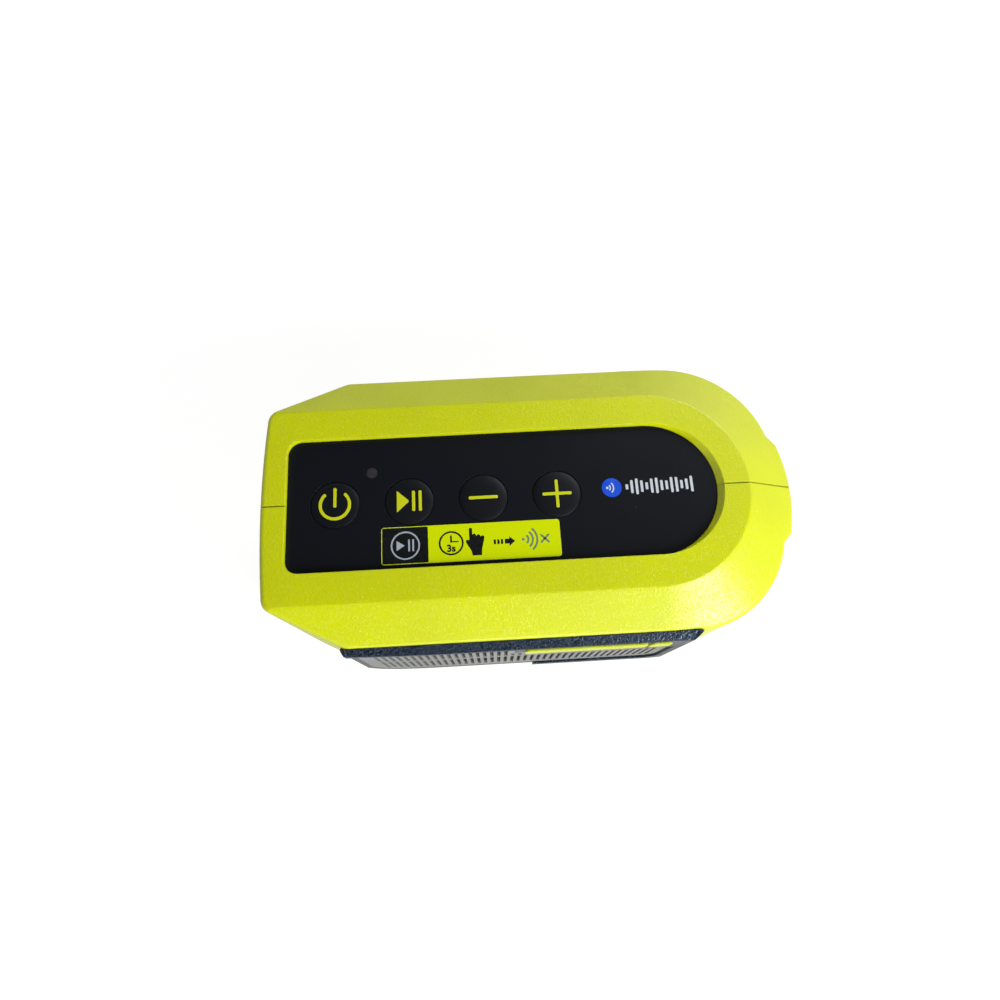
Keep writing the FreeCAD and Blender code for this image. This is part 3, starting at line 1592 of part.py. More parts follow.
def board_parts():
    """The radio, the amplifier with its heat sink, the capacitors, the inductor and the connectors."""
    left = d.radio_left
    low = d.radio_low
    base = on_board("radio_base", -left, low, d.radio_width - left, low + d.radio_height, d.radio_base)
    edge = d.part_gap * 2
    can = on_board(
        "radio_can", edge - left, low + edge, d.radio_width - edge - left,
        low + d.radio_height - d.radio_aerial, d.radio_thickness,
    )
    piece(fuse("radio_module", [base, can]), "radio_module")

    left = d.sink_left
    low = d.sink_low
    side = d.sink_side
    inset = (side - d.chip_side) / 2
    chip = on_board(
        "amplifier_chip", inset - left, low + inset, inset + d.chip_side - left,
        low + inset + d.chip_side, d.chip_height,
    )
    piece(chip, "amplifier_chip")
    front = d.main_board_depth - d.chip_height
    pitch = (side - d.fin_thickness) / (d.fin_count - 1)
    sink = block("sink_plate", (-left, side - left), (front - d.sink_plate, front), (low, low + side))
    fins = [
        block(
            f"sink_fin_{i}", (pitch * i - left, pitch * i + d.fin_thickness - left),
            (front - d.sink_height, front - d.sink_plate), (low, low + side),
        )
        for i in range(int(d.fin_count.number))
    ]
    piece(fuse("heat_sink", [sink] + fins), "heat_sink")

    radius = d.capacitor_radius
    groove = d.capacitor_groove
    collar = d.capacitor_groove * 5
    can = turned(
        "capacitor",
        [
            (0, 0), (radius, 0), (radius, collar), (radius - groove, collar + groove),
            (radius, collar + groove * 2), (radius, d.capacitor_length - groove),
            (radius - groove, d.capacitor_length), (0, d.capacitor_length),
        ],
    )
    across = -d.capacitor_left
    low = d.capacitor_low
    pitch = d.capacitor_pitch
    places = [
        (across, d.main_board_depth, low),
        (across + pitch, d.main_board_depth, low),
    ]
    piece(copies("capacitors", can, places, AHEAD), "capacitors")

    half = d.inductor_side / 2
    path = rounded_box(-half, -half, half, half, [d.inductor_side / 5] * 4)
    coil = plate("power_inductor", path, d.inductor_height)
    piece(place(coil, -d.inductor_left, d.main_board_depth, d.inductor_low, AHEAD), "power_inductor")

    power = on_board(
        "power_connector", -d.power_plug_left, d.power_plug_low, d.plug_width - d.power_plug_left,
        d.power_plug_low + d.plug_height, d.power_plug_depth,
    )
    half = d.plug_width / 2
    signal = on_board(
        "signal_connector", -d.driver_across - half, d.signal_plug_low, half - d.driver_across,
        d.signal_plug_low + d.plug_height, d.signal_plug_depth,
    )
    piece(group("lead_connectors", [power, signal]), "lead_connectors")

    left = d.ribbon_left + d.part_gap
    right = d.ribbon_left - d.ribbon_width - d.part_gap
    thickness = d.ribbon_plug_height
    half = d.ribbon_plug_depth / 2
    upper = block(
        "upper_ribbon_plug", (-left, -right), (d.ribbon_depth - half, d.ribbon_depth + half),
        (d.key_board_under - thickness, d.key_board_under),
    )
    lower = on_board(
        "lower_ribbon_plug", -left, d.ribbon_low - half, -right, d.ribbon_low + half, thickness
    )
    piece(group("ribbon_connectors", [upper, lower]), "ribbon_connectors")
    thin = d.ribbon_thickness / 2
    near = d.ribbon_depth
    end = d.main_board_depth - thickness
    bend = end - near
    path = [
        (near - thin, d.ribbon_low + bend, bend + thin),
        (end, d.ribbon_low - thin),
        (end, d.ribbon_low + thin, thin - bend),
        (near + thin, d.ribbon_low + bend),
        (near + thin, d.key_board_under - thickness),
        (near - thin, d.key_board_under - thickness),
    ]
    side = outline("ribbon_side", path, SIDEWAYS)
    end = d.ribbon_width - d.ribbon_left
    piece(prism("ribbon_cable", side, -d.ribbon_left, end, (1, 0, 0)), "ribbon_cable")


# Leads: a round section swept along a flat route

def route(name, points, turn, across, depth, up):
    """An open route of lines and arcs. A point is (x, y), or (x, y, radius of the arc that leaves it)."""
    sketch = doc.addObject("Sketcher::SketchObject", name)
    corners = [FreeCAD.Vector(as_size(p[0]).number, as_size(p[1]).number, 0) for p in points]
    previous = None
    for index, point in enumerate(points[:-1]):
        here = corners[index]
        there = corners[index + 1]
        if len(point) == 3:
            middle = arc_middle(here, there, as_size(point[2]).number)
            edge = sketch.addGeometry(Part.Arc(here, middle, there))
        else:
            edge = sketch.addGeometry(Part.LineSegment(here, there))
        near = (sketch.getPoint(edge, 1) - here).Length < (sketch.getPoint(edge, 2) - here).Length
        start = 1 if near else 2
        if previous is not None:
            sketch.addConstraint(Sketcher.Constraint("Coincident", previous[0], previous[1], edge, start))
        ends = [(start, point)]
        if index == len(points) - 2:
            ends.append((3 - start, points[-1]))
        for end, place_of_end in ends:
            for kind, value in (("DistanceX", place_of_end[0]), ("DistanceY", place_of_end[1])):
                fixed = Sketcher.Constraint(kind, -1, 1, edge, end, as_size(value).number)
                bind(sketch, f"Constraints[{sketch.addConstraint(fixed)}]", value)
        if len(point) == 3:
            size = point[2] if as_size(point[2]).number > 0 else -point[2]
            number = sketch.addConstraint(Sketcher.Constraint("Radius", edge, as_size(size).number))
            bind(sketch, f"Constraints[{number}]", size)
        previous = (edge, 3 - start)
    place(sketch, across, depth, up, turn)
    return sketch


def lead(name, path, diameter, start, facing):
    """A round lead along a route. Its section lies at the start, facing along the route."""
    section = doc.addObject("Part::Circle", name + "_section")
    bind(section, "Radius", diameter / 2)
    place(section, *start, facing)
    doc.recompute()
    sweep = doc.addObject("Part::Sweep", name)
    sweep.Sections = [section]
    sweep.Spine = (path, [f"Edge{i + 1}" for i in range(len(path.Shape.Edges))])
    sweep.Solid = True
    return sweep


def leads():
    tail = d.socket_height + d.socket_wall + d.blade_tail - d.lead_diameter
    near_blade = blade_places()[0] - d.blade_thickness / 2
    end = d.plug_width - d.power_plug_left
    near = d.lead_row - d.lead_pitch
    bend = d.lead_bend
    # The arcs of the first lead turn by the same angle, so it shifts sideways between two straights.
    shift = near / 2
    run = root(bend * shift * 2 - shift * shift)
    middle = near_blade - d.lead_straight
    first = route(
        "negative_route",
        [
            (near_blade, 0),
            (middle, 0, -bend),
            (middle - run, shift, bend),
            (middle - run * 2, near),
            (end, near),
        ],
        UPRIGHT, 0, 0, tail,
    )
    across = FreeCAD.Rotation(FreeCAD.Vector(0, 1, 0), 90)
    piece(lead("negative_lead", first, d.lead_diameter, (near_blade, 0, tail), across), "negative_lead")

    far_blade = blade_places()[2]
    edge = d.blade_width / 2
    second = route(
        "positive_route",
        [
            (far_blade, edge),
            (far_blade, d.lead_row - bend, bend),
            (far_blade - bend, d.lead_row),
            (end, d.lead_row),
        ],
        UPRIGHT, 0, 0, tail,
    )
    piece(lead("positive_lead", second, d.lead_diameter, (far_blade, edge, tail), AHEAD), "positive_lead")

    start = d.driver_flange_thickness - d.frame_front + d.board_thickness
    stop = d.main_board_depth - d.signal_plug_depth
    low = d.driver_height - d.driver_flange / 2 + d.frame_wall
    quarter = (stop - start) / 4
    sag = d.signal_sag
    bend = (quarter * quarter + sag * sag / 4) / sag
    arc = route(
        "signal_route",
        [
            (start, low, -bend),
            (start + quarter, low - sag / 2, bend),
            (stop - quarter, low - sag / 2, -bend),
            (stop, low),
        ],
        SIDEWAYS, 0, 0, 0,
    )
    model = lead("signal_lead", arc, d.signal_lead_diameter, (0, start, low), BACKWARD)
    gap = d.signal_lead_pitch / 2
    links = []
    for index, across in enumerate((-d.driver_across - gap, gap - d.driver_across)):
        link = doc.addObject("App::Link", f"signal_lead_{index + 1}")
        link.LinkedObject = model
        bind(link, "Placement.Base.x", across)
        links.append(link)
    piece(group("driver_leads", links), "driver_leads")


# Battery socket and its terminals

def blade_places():
    return [d.socket_across + step * d.blade_pitch for step in (-1, 0, 1)]


def blade_outline(across, growth):
    half = d.blade_width / 2 + growth
    thin = d.blade_thickness / 2 + growth
    return [(across - thin, -half), (across + thin, -half), (across + thin, half), (across - thin, half)]


def battery_socket():
    body = doc.addObject("PartDesign::Body", "battery_socket")
    top = d.socket_height + d.socket_wall
    outer = body_sketch(body, "XY_Plane", "socket_outer", socket_path(d.socket_wall), lift=d.socket_recess)
    pad(body, outer, top - d.socket_recess)
    flange = body_sketch(
        body, "XY_Plane", "socket_flange", socket_path(d.socket_wall + d.socket_flange), lift=d.floor_wall
    )
    pad(body, flange, d.socket_flange_thickness)
    doc.recompute()
    inside = body_sketch(body, "XY_Plane", "socket_inside", socket_path(as_size(0)))
    pocket(body, inside, d.socket_height, up=True)
    half = d.latch_length / 2
    latch = [
        (d.socket_across - half, d.latch_low), (d.socket_across + half, d.latch_low),
        (d.socket_across + half, d.latch_low + d.latch_height),
        (d.socket_across - half, d.latch_low + d.latch_height),
    ]
    reach = d.socket_depth / 2 + d.latch_depth
    pockets = body_sketch(body, "XZ_Plane", "latch_pockets", latch, lift=-reach)
    pocket(body, pockets, reach * 2, up=True)
    slots = [blade_outline(across, d.screw_thread_gap) for across in blade_places()]
    pocket(body, body_sketch(body, "XY_Plane", "blade_slots", *slots, lift=top), d.socket_wall * 1.5)
    piece(place(body, 0, 0, 0), "battery_socket")


def terminals():
    """The block under the socket's roof, and the three blades that pass through both."""
    top = d.socket_height + d.socket_wall
    foot = d.socket_height - d.terminal_drop
    length = d.terminal_length / 2
    depth = d.terminal_depth / 2
    block_path = rounded_box(
        d.socket_across - length, -depth, d.socket_across + length, depth, [d.board_corner] * 4
    )
    body = plate("terminal_block", block_path, d.terminal_drop)
    doc.recompute()
    slots = [blade_outline(across, d.screw_thread_gap) for across in blade_places()]
    sketch = body_sketch(body, "XY_Plane", "terminal_slots", *slots, lift=d.terminal_drop)
    pocket(body, sketch, d.terminal_drop * 2)
    piece(place(body, 0, 0, foot), "terminal_block")

    half = d.blade_width / 2
    thin = d.blade_thickness / 2
    blades = [
        block(
            f"blade_{index}", (across - thin, across + thin), (-half, half),
            (foot - d.blade_drop, top + d.blade_tail),
        )
        for index, across in enumerate(blade_places())
    ]
    piece(group("contact_blades", blades), "contact_blades")


def check_and_write():
    doc.recompute()
    for thing in doc.Objects:
        if "Invalid" in thing.State or "Error" in thing.State:
            raise RuntimeError(f"{thing.Name} failed: {thing.State}")
    for thing in pieces:
        if thing.Shape.isNull() or not thing.Shape.isValid() or not thing.Shape.Solids:
            raise RuntimeError(f"{thing.Label} has no valid solid")
    os.makedirs("parts", exist_ok=True)
    for thing in pieces:
        thing.Shape.exportStep(f"parts/{thing.Label}.step")


panel_outline = shells()
housing_screws()
control_panel(panel_outline)
panel_adhesive(panel_outline)
status_light()
for index, name in enumerate(KEYS):
    key(index, name)
small_screw = key_board()
sticker()
front_pieces()
loudspeaker(small_screw)
main_board(small_screw)
board_parts()
battery_socket()
terminals()
leads()
check_and_write()
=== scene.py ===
import math
import bmesh
import bpy
from mathutils import Matrix, Vector


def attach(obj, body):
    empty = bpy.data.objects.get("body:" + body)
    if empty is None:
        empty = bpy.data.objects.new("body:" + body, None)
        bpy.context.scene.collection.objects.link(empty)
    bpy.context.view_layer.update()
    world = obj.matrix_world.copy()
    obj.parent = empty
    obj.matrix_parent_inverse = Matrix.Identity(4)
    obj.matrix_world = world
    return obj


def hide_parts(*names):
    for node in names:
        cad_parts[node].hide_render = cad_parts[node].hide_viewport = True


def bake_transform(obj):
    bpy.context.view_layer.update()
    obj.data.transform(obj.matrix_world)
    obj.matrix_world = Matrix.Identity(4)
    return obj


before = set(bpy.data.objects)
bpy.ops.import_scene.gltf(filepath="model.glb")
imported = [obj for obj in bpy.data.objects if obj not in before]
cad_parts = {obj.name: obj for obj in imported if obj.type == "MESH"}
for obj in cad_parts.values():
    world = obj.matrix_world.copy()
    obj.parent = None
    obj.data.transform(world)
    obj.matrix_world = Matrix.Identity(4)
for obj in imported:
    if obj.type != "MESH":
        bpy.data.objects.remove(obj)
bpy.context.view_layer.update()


# ---- Lime half shells -------------------------------------------------------------------------
# Two injection-moulded shells of lime plastic meet along the middle of both ends. The mould is
# etched, so every face has a fine leathery grain, and six long screws from the back hold them.

MM = 0.001  # sizes are in millimetres, except a grain's depth and an edge's radius, in metres
GRAIN_PITCH = 1500  # grain cells in a metre
RUB_PATCHES = 260  # patches of rubbed edge in a metre
RELIEF_STRENGTH = 0.7
# The second shell colour is worn lime on the edges and a painted glint on the grain's ridges.
SHELL_LIME, SHELL_WORN_AND_GLINT = (0.6, 0.66, 0.002), (0.84, 0.9, 0.1)
SHADED_AS_ONE = 32  # the largest angle in degrees between faces that shade as one surface
RECESS_CENTRE, RECESS_RADIUS = (32.38, 0.9), 18.9  # the round end of the panel's recess
RECESS_LEAN = 1.45
PANEL_LEVEL, LEAN_LEVEL = 66.3, 67.4  # the recess's wall leans from the panel to its rim
ON_WALL = 0.12  # how near the recess's radius a corner of its wall lies


def wire(socket, source):
    """Joins a socket to an output, or gives it a plain value."""
    if isinstance(source, bpy.types.NodeSocket):
        socket.id_data.links.new(source, socket)
    elif socket.type == "RGBA":
        socket.default_value = (*source, 1)
    else:
        socket.default_value = source


def node(kind, inputs, tree=None, family="ShaderNode", **settings):
    """Adds a node to a tree, or to the tree that its inputs come from, and gives its outputs."""
    joined = [source for source in inputs.values() if isinstance(source, bpy.types.NodeSocket)]
    made = (tree or joined[0].id_data).nodes.new(family + kind)
    for key, value in settings.items():
        setattr(made, key, value)
    for key, source in inputs.items():
        wire(made.inputs[key], source)
    return made.outputs


def maths(operation, first, second=0.0, clamped=False):
    return node("Math", {0: first, 1: second}, operation=operation, use_clamp=clamped)[0]


def times(first, second):
    return maths("MULTIPLY", first, second)


def spread(value, low, high, start=0.0, end=1.0):
    """Takes a value from the range low to high to the range start to end."""
    ends = {"Value": value, "From Min": low, "From Max": high, "To Min": start, "To Max": end}
    return node("MapRange", ends)[0]


def follow(noise, low, high):
    """A value from low to high that follows a noise over its usual range."""
    return spread(noise, 0.3, 0.7, low, high)


def between(share, first, second):
    """A colour between two others."""
    return node("Mix", {0: share, 6: first, 7: second}, data_type="RGBA")[2]


def cloud(vector, pitch, detail=2.0, distortion=0.0):
    """Soft noise, with so many cells in a metre."""
    inputs = {"Vector": vector, "Scale": pitch, "Detail": detail, "Distortion": distortion}
    return node("TexNoise", inputs)["Fac"]


def node_group(name, inputs, outputs, family="ShaderNodeTree"):
    """A node group with named sockets: its tree, what it is given and what it puts out."""
    tree = bpy.data.node_groups.new(name, family)
    for way, sockets in (("INPUT", inputs), ("OUTPUT", outputs)):
        for label, kind in sockets.items():
            tree.interface.new_socket(label, in_out=way, socket_type="NodeSocket" + kind)
    return tree, tree.nodes.new("NodeGroupInput").outputs, tree.nodes.new("NodeGroupOutput").inputs


def use(group, **inputs):
    return node("Group", inputs, node_tree=group)


def make_moulded_grain():
    """Short wriggling ridges among small cells, as an etched mould leaves them."""
    tree, given, result = node_group(
        "moulded_grain", {"Vector": "Vector", "Pitch": "Float", "Ridges": "Float"},
        {"Height": "Float", "Valley_Shade": "Float", "Crest_Glint": "Float"},
    )
    waves = cloud(given["Vector"], given["Pitch"], 1.0, 1.4)
    bend = maths("ABSOLUTE", maths("SUBTRACT", waves, 0.5))
    breaks = cloud(given["Vector"], times(given["Pitch"], 0.8), 1.0)
    breaks = spread(breaks, 0.42, 0.56)
    ridges = times(spread(bend, 0.0, 0.07, 1.0, 0.0), breaks)
    wobble = node("TexNoise", {"Vector": given["Vector"], "Scale": 700.0, "Detail": 1.0})
    shift = node("VectorMath", {0: wobble["Color"], "Scale": 0.0009}, operation="SCALE")
    moved = node("VectorMath", {0: given["Vector"], 1: shift[0]}, operation="ADD")
    cells = node("TexVoronoi", {"Vector": moved[0], "Scale": given["Pitch"]})
    domes = spread(cells["Distance"], 0.1, 0.75, 1.0, 0.0)
    height = node("Mix", {0: given["Ridges"], 2: domes, 3: ridges})[0]
    wire(result["Height"], height)
    wire(result["Valley_Shade"], maths("SUBTRACT", 1.0, height, True))
    wire(result["Crest_Glint"], ridges)
    return tree


def make_edge_rub():
    """Where hands rub: a broken mask along the edges, and the normal of a slightly rounded edge."""
    tree, given, result = node_group(
        "edge_rub", {"Vector": "Vector", "Radius": "Float", "Patches": "Float"},
        {"Mask": "Float", "Rounded": "Vector"},
    )
    soft = node("Bevel", {"Radius": given["Radius"]}, samples=4)
    flat = node("NewGeometry", {}, tree)
    both = {0: soft[0], 1: flat["Normal"]}
    alike = node("VectorMath", both, operation="DOT_PRODUCT")["Value"]
    edge = spread(alike, 0.995, 0.86)
    patches = spread(cloud(given["Vector"], given["Patches"], 3.0), 0.38, 0.66)
    wire(result["Mask"], times(edge, patches))
    wire(result["Rounded"], soft[0])
    return tree


def make_dust_and_glint_specks():
    """Stray pale specks, one in a few of the cells of a wide spacing: dust on most pieces, painted
    glints on the bezel.
    """
    tree, given, result = node_group(
        "dust_and_glint_specks", {"Vector": "Vector", "Spacing": "Float", "Size": "Float"},
        {"Mask": "Float"},
    )
    cells = node("TexVoronoi", {"Vector": given["Vector"], "Scale": given["Spacing"]})
    chance = node("SeparateColor", {0: cells["Color"]})[0]
    reach = times(given["Size"], spread(chance, 0.55, 1.0))
    wire(result["Mask"], maths("LESS_THAN", cells["Distance"], reach))
    return tree


moulded_grain = make_moulded_grain()
edge_rub = make_edge_rub()
dust_and_glint_specks = make_dust_and_glint_specks()


def finish(name, constants=None):
    """A new material: itself, its shader's inputs and the piece's own coordinates."""
    made = bpy.data.materials.new(name)
    made.use_nodes = True
    shader = made.node_tree.nodes["Principled BSDF"].inputs
    for key, value in (constants or {}).items():
        shader[key].default_value = value
    return made, shader, node("TexCoord", {}, made.node_tree)["Object"]


def dress(shader, colour, roughness, normal):
    """Joins a material's colour, roughness and normal to its shader."""
    for key, source in (("Base Color", colour), ("Roughness", roughness), ("Normal", normal)):
        wire(shader[key], source)


def relief(height, distance, normal=None):
    """The normal of a surface that is raised by so many metres."""
    inputs = {"Height": height, "Distance": distance, "Strength": RELIEF_STRENGTH}
    if normal is not None:
        inputs["Normal"] = normal
    return node("Bump", inputs)[0]


def moulded(
    name, colour, rubbed_and_glint, roughness, pitch=GRAIN_PITCH, depth=0.00002, rub=0.4, edge=0.0004,
    ridges=0.55, tone=0.12, crest_glint=0.0, specks=None, constants=None,
):
    """Moulded plastic or rubber: uneven tone, a mould grain with painted shade in its valleys and a
    painted glint on its ridges, edges worn by rubbing, and stray pale specks, which are dust except
    on the bezel, where they are painted glints. Depth and edge are in metres, and specks are their
    spacing, size and colour."""
    made, shader, place = finish(name, constants)
    grain = use(moulded_grain, Vector=place, Pitch=pitch, Ridges=ridges)
    rubs = use(edge_rub, Vector=place, Radius=edge, Patches=RUB_PATCHES)
    patches = cloud(place, 45.0, 3.0)
    darker = tuple(part * (1 - tone) for part in colour)
    body = between(spread(patches, 0.35, 0.65), colour, darker)
    # Painted shade: the grain's valleys are darkened by the tone's share.
    body = between(times(grain["Valley_Shade"], tone), body, darker)
    # Painted glint: the grain's ridges take the pale second colour.
    body = between(times(grain["Crest_Glint"], crest_glint), body, rubbed_and_glint)
    body = between(times(rubs["Mask"], rub), body, rubbed_and_glint)
    rough = follow(patches, roughness - 0.05, roughness + 0.06)
    rough = maths("SUBTRACT", rough, times(rubs["Mask"], 0.12), True)
    if specks:
        # A speck's colour is dust, except on the bezel, where it is a painted glint.
        spacing, size, dust = specks
        mask = use(dust_and_glint_specks, Vector=place, Spacing=spacing, Size=size)["Mask"]
        body = between(mask, body, dust)
        rough = maths("MAXIMUM", rough, mask)
    dress(shader, body, rough, relief(grain["Height"], depth, rubs["Rounded"]))
    return made


def put(name, mesh):
    """A new object at the origin that holds the mesh."""
    made = bpy.data.objects.new(name, mesh)
    bpy.context.scene.collection.objects.link(made)
    return made


def seat(piece, slot, *nodes, body="housing"):
    """Hides the nodes that a piece stands for and sets it on its body. The slot is not used."""
    if nodes:
        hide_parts(*nodes)
    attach(piece, body)


def paint(mesh, material):
    """Leaves one material on a mesh."""
    mesh.materials.clear()
    mesh.materials.append(material)


def coat(material, *nodes):
    """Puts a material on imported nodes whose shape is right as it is."""
    for name in nodes:
        paint(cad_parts[name].data, material)


def smooth(mesh, crease):
    """Shades a mesh smoothly up to so many degrees between its faces."""
    mesh.shade_smooth()
    mesh.set_sharp_from_angle(angle=math.radians(crease))


def smooth_skin(name, source, material, slot, reshape=None):
    """A joined copy of a housing node's triangles stands for it, with even, smooth shading."""
    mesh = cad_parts[source].data.copy()
    solid = bmesh.new()
    solid.from_mesh(mesh)
    bmesh.ops.remove_doubles(solid, verts=solid.verts, dist=1e-6)
    if reshape:
        reshape(solid)
    solid.to_mesh(mesh)
    solid.free()
    if "custom_normal" in mesh.attributes:
        mesh.attributes.remove(mesh.attributes["custom_normal"])
    smooth(mesh, SHADED_AS_ONE)
    paint(mesh, material)
    made = put(name, mesh)
    made.modifiers.new("even_shading", "WEIGHTED_NORMAL").keep_sharp = True
    seat(made, slot, source)


def lean_recess_wall(solid):
    """At the round end the wall of the panel's recess leans outward above the panel."""
    def on_wall(vertex):
        across, along = vertex.co.x / MM - RECESS_CENTRE[0], vertex.co.y / MM - RECESS_CENTRE[1]
        return across > -ON_WALL and abs(math.hypot(across, along) - RECESS_RADIUS) < ON_WALL

    wall = [face for face in solid.faces if all(on_wall(vertex) for vertex in face.verts)]
    edges = list({edge for face in wall for edge in face.edges})
    corners = list({vertex for face in wall for vertex in face.verts})
    bmesh.ops.bisect_plane(
        solid, geom=wall + edges + corners, plane_co=(0, 0, PANEL_LEVEL * MM), plane_no=(0, 0, 1)
    )
    for vertex in solid.verts:
        if vertex.co.z / MM > LEAN_LEVEL and on_wall(vertex):
            vertex.co.x += RECESS_LEAN * MM


# Its grain's pale ridges are a painted glint, and its valleys get painted shade.
lime_shell = moulded(
    "lime_shell", SHELL_LIME, SHELL_WORN_AND_GLINT, 0.3, depth=0.00007, rub=0.3, tone=0.07, crest_glint=0.09,
    specks=(160.0, 0.02, (0.75, 0.78, 0.5)),
)
for side in ("front", "rear"):
    shell = side + "_shell"
    smooth_skin(side + "_half_shell", shell, lime_shell, "lime_housing", lean_recess_wall)


# ---- Control panel and its foam ring ----------------------------------------------------------
# A black plastic tray lies 1.7 mm below the top face, with a matt, very fine texture. A ring of
# double-sided foam under its edge seals it to the shells.

panel_black = moulded(
    "panel_black", (0.0056, 0.007, 0.0102), (0.02, 0.022, 0.025), 0.4, pitch=5200,
    depth=0.000004, rub=0.3, edge=0.0002, ridges=0.2, specks=(240.0, 0.03, (0.2, 0.24, 0.24)),
    constants={"Specular IOR Level": 0.15},
)
smooth_skin("control_tray", "control_panel", panel_black, "panel_black")

foam_white = moulded(
    "foam_white", (0.78, 0.78, 0.72), (0.86, 0.86, 0.82), 0.85, pitch=3200, depth=0.00008,
    ridges=0.1, constants={"Sheen Weight": 0.2},
)
coat(foam_white, "panel_adhesive")


# ---- Keys -------------------------------------------------------------------------------------
# Four round caps of soft black plastic stand a little proud of the panel, each crowned and held
# by a flange under it. The symbols are a second shot of lime plastic, and a plunger is below.

KEY_ROW = 0.9  # the row's place in depth
TURNED_AS_ONE = 38  # as for the shells, but for turned forms
KEY_PLACES = {"power": -53.62, "play": -33.42, "volume_down": -13.22, "volume_up": 6.98}
CAP_PROFILE = [  # radius and height
    (0, 62.4), (3.0, 62.4), (3.0, 63.4), (7.9, 63.4), (7.9, 64.2), (6.5, 64.2), (6.5, 65.5),
    (6.7, 65.8), (6.7, 66.02), (6.6, 66.12), (6.36, 66.21), (6.0, 66.31), (5.6, 66.4),
    (5.1, 66.48), (4.5, 66.55), (3.5, 66.61), (1.8, 66.64), (0, 66.65),
]


def cast(name, solid, material, crease=None):
    """A worked solid as an object. With a crease in degrees, it shades smoothly up to that."""
    mesh = bpy.data.meshes.new(name)
    solid.to_mesh(mesh)
    solid.free()
    if crease:
        smooth(mesh, crease)
    paint(mesh, material)
    return put(name, mesh)


def turned(name, profile, material, centre, steps=96, sweep=(0, 360), upward=True):
    """A turned form: a profile of (radius, height) in mm goes round a centre.
    Its axis is upward, or forward out of the front. Part of a circle gets closed ends."""
    solid = bmesh.new()
    start, end = (math.radians(angle) for angle in sweep)
    whole = sweep == (0, 360)
    rings = []
    for step in range(steps if whole else steps + 1):
        angle = start + (end - start) * step / steps
        ring = []
        for radius, height in profile:
            across, up = radius * math.cos(angle) * MM, radius * math.sin(angle) * MM
            spot = (across, up, height * MM) if upward else (across, -height * MM, up)
            ring.append(solid.verts.new(Vector(centre) + Vector(spot)))
        rings.append(ring)
    count = len(profile)
    open_ended = profile[0][0] == 0 and profile[-1][0] == 0
    for ring, following in zip(rings, rings[1:] + rings[:1] if whole else rings[1:]):
        for here in range(count - 1 if open_ended else count):
            there = (here + 1) % count
            solid.faces.new((ring[here], ring[there], following[there], following[here]))
    if not whole:
        solid.faces.new(rings[0])
        solid.faces.new(rings[-1])
    bmesh.ops.remove_doubles(solid, verts=solid.verts, dist=1e-7)
    bmesh.ops.dissolve_degenerate(solid, edges=solid.edges, dist=1e-8)
    bmesh.ops.recalc_face_normals(solid, faces=solid.faces)
    return cast(name, solid, material, TURNED_AS_ONE)


key_black = moulded(
    "key_black", (0.005, 0.0062, 0.0088), (0.02, 0.022, 0.025), 0.45, pitch=4200, depth=0.000005,
    rub=0.12, edge=0.0003, ridges=0.3, specks=(260.0, 0.03, (0.2, 0.23, 0.23)),
    constants={"Specular IOR Level": 0.2},
)
symbol_lime = moulded(
    "symbol_lime", (0.6, 0.64, 0.003), (0.72, 0.75, 0.06), 0.45, pitch=3000, depth=0.000006,
    edge=0.00015, tone=0.1,
)
plunger_grey = moulded(
    "plunger_grey", (0.12, 0.12, 0.125), (0.25, 0.25, 0.25), 0.45, pitch=3600, depth=0.00001,
)
for key, across in KEY_PLACES.items():
    cap = turned(key + "_cap", CAP_PROFILE, key_black, (across * MM, KEY_ROW * MM, 0))
    seat(cap, "key_black", key + "_button", body=key + "_key")
    coat(symbol_lime, key + "_symbol")
    coat(plunger_grey, key + "_plunger")


# ---- Status light -----------------------------------------------------------------------------
# A smoked light pipe of clear plastic ends flush in the panel, behind the first two keys. Under
# it sits a small light chip with a yellowish resin face.

lens_smoke, shader, place = finish(
    "lens_smoke", {"Coat Weight": 0.4, "Coat Roughness": 0.15, "IOR": 1.49}
)
haze = cloud(place, 900.0, 3.0)
dress(
    shader, between(haze, (0.02, 0.02, 0.024), (0.034, 0.034, 0.042)),
    follow(haze, 0.28, 0.42), relief(cloud(place, 2600.0), 0.000004),
)
coat(lens_smoke, "status_lens")

light_resin, shader, place = finish("light_resin", {"Subsurface Weight": 0.1})
rings = node("TexVoronoi", {"Vector": place, "Scale": 1400.0})["Distance"]
dress(
    shader, between(rings, (0.86, 0.78, 0.3), (0.9, 0.9, 0.82)), spread(rings, 0, 1, 0.2, 0.5),
    relief(rings, 0.00002),
)
coat(light_resin, "status_light")


# ---- Pictogram sticker ------------------------------------------------------------------------
# A printed film in front of the keys: a lime ground, a black cell, a clock with its seconds, a
# pointing hand, an arrow, sound waves and a cross. The inks are layers of real thickness.

FILM_TOP = 66.42
INK = 0.012  # the thickness of a layer of ink
LINE_HEIGHT = -11.5
ARROW_HEIGHT = -11.77
BLACK_CELL = (-40.9, -16.4, -28.6, -6.5, 0.4)  # left, low, right, high, corner
RING_PLACE, RING = (-34.7, LINE_HEIGHT), (3.7, 0.42)  # place, then radius and line width
CLOCK_PLACE, CLOCK_RING = (-22.45, LINE_HEIGHT), (3.1, 0.48)
WAVE_PLACE = (-3.1, LINE_HEIGHT)
CROSS_PLACE = (2.75, LINE_HEIGHT)
SECONDS_SIZE, SECONDS_BOLD, SECONDS_DROP = 2.65, 0.1, 2.3
DASHES_START, DASH_PITCH, DASH_WIDTH, DASH_HEIGHT = -10.74, 0.96, 0.6, 1.35
BAR_ROUNDING = 0.35  # the corner of a dash or a level bar, as a share of its width
BAR_SWAY = 0.83  # radians of the swing from one bar to the next


def on_circle(centre, radius, degrees):
    """A point of a circle, anticlockwise from its right."""
    angle = math.radians(degrees)
    return centre[0] + radius * math.cos(angle), centre[1] + radius * math.sin(angle)


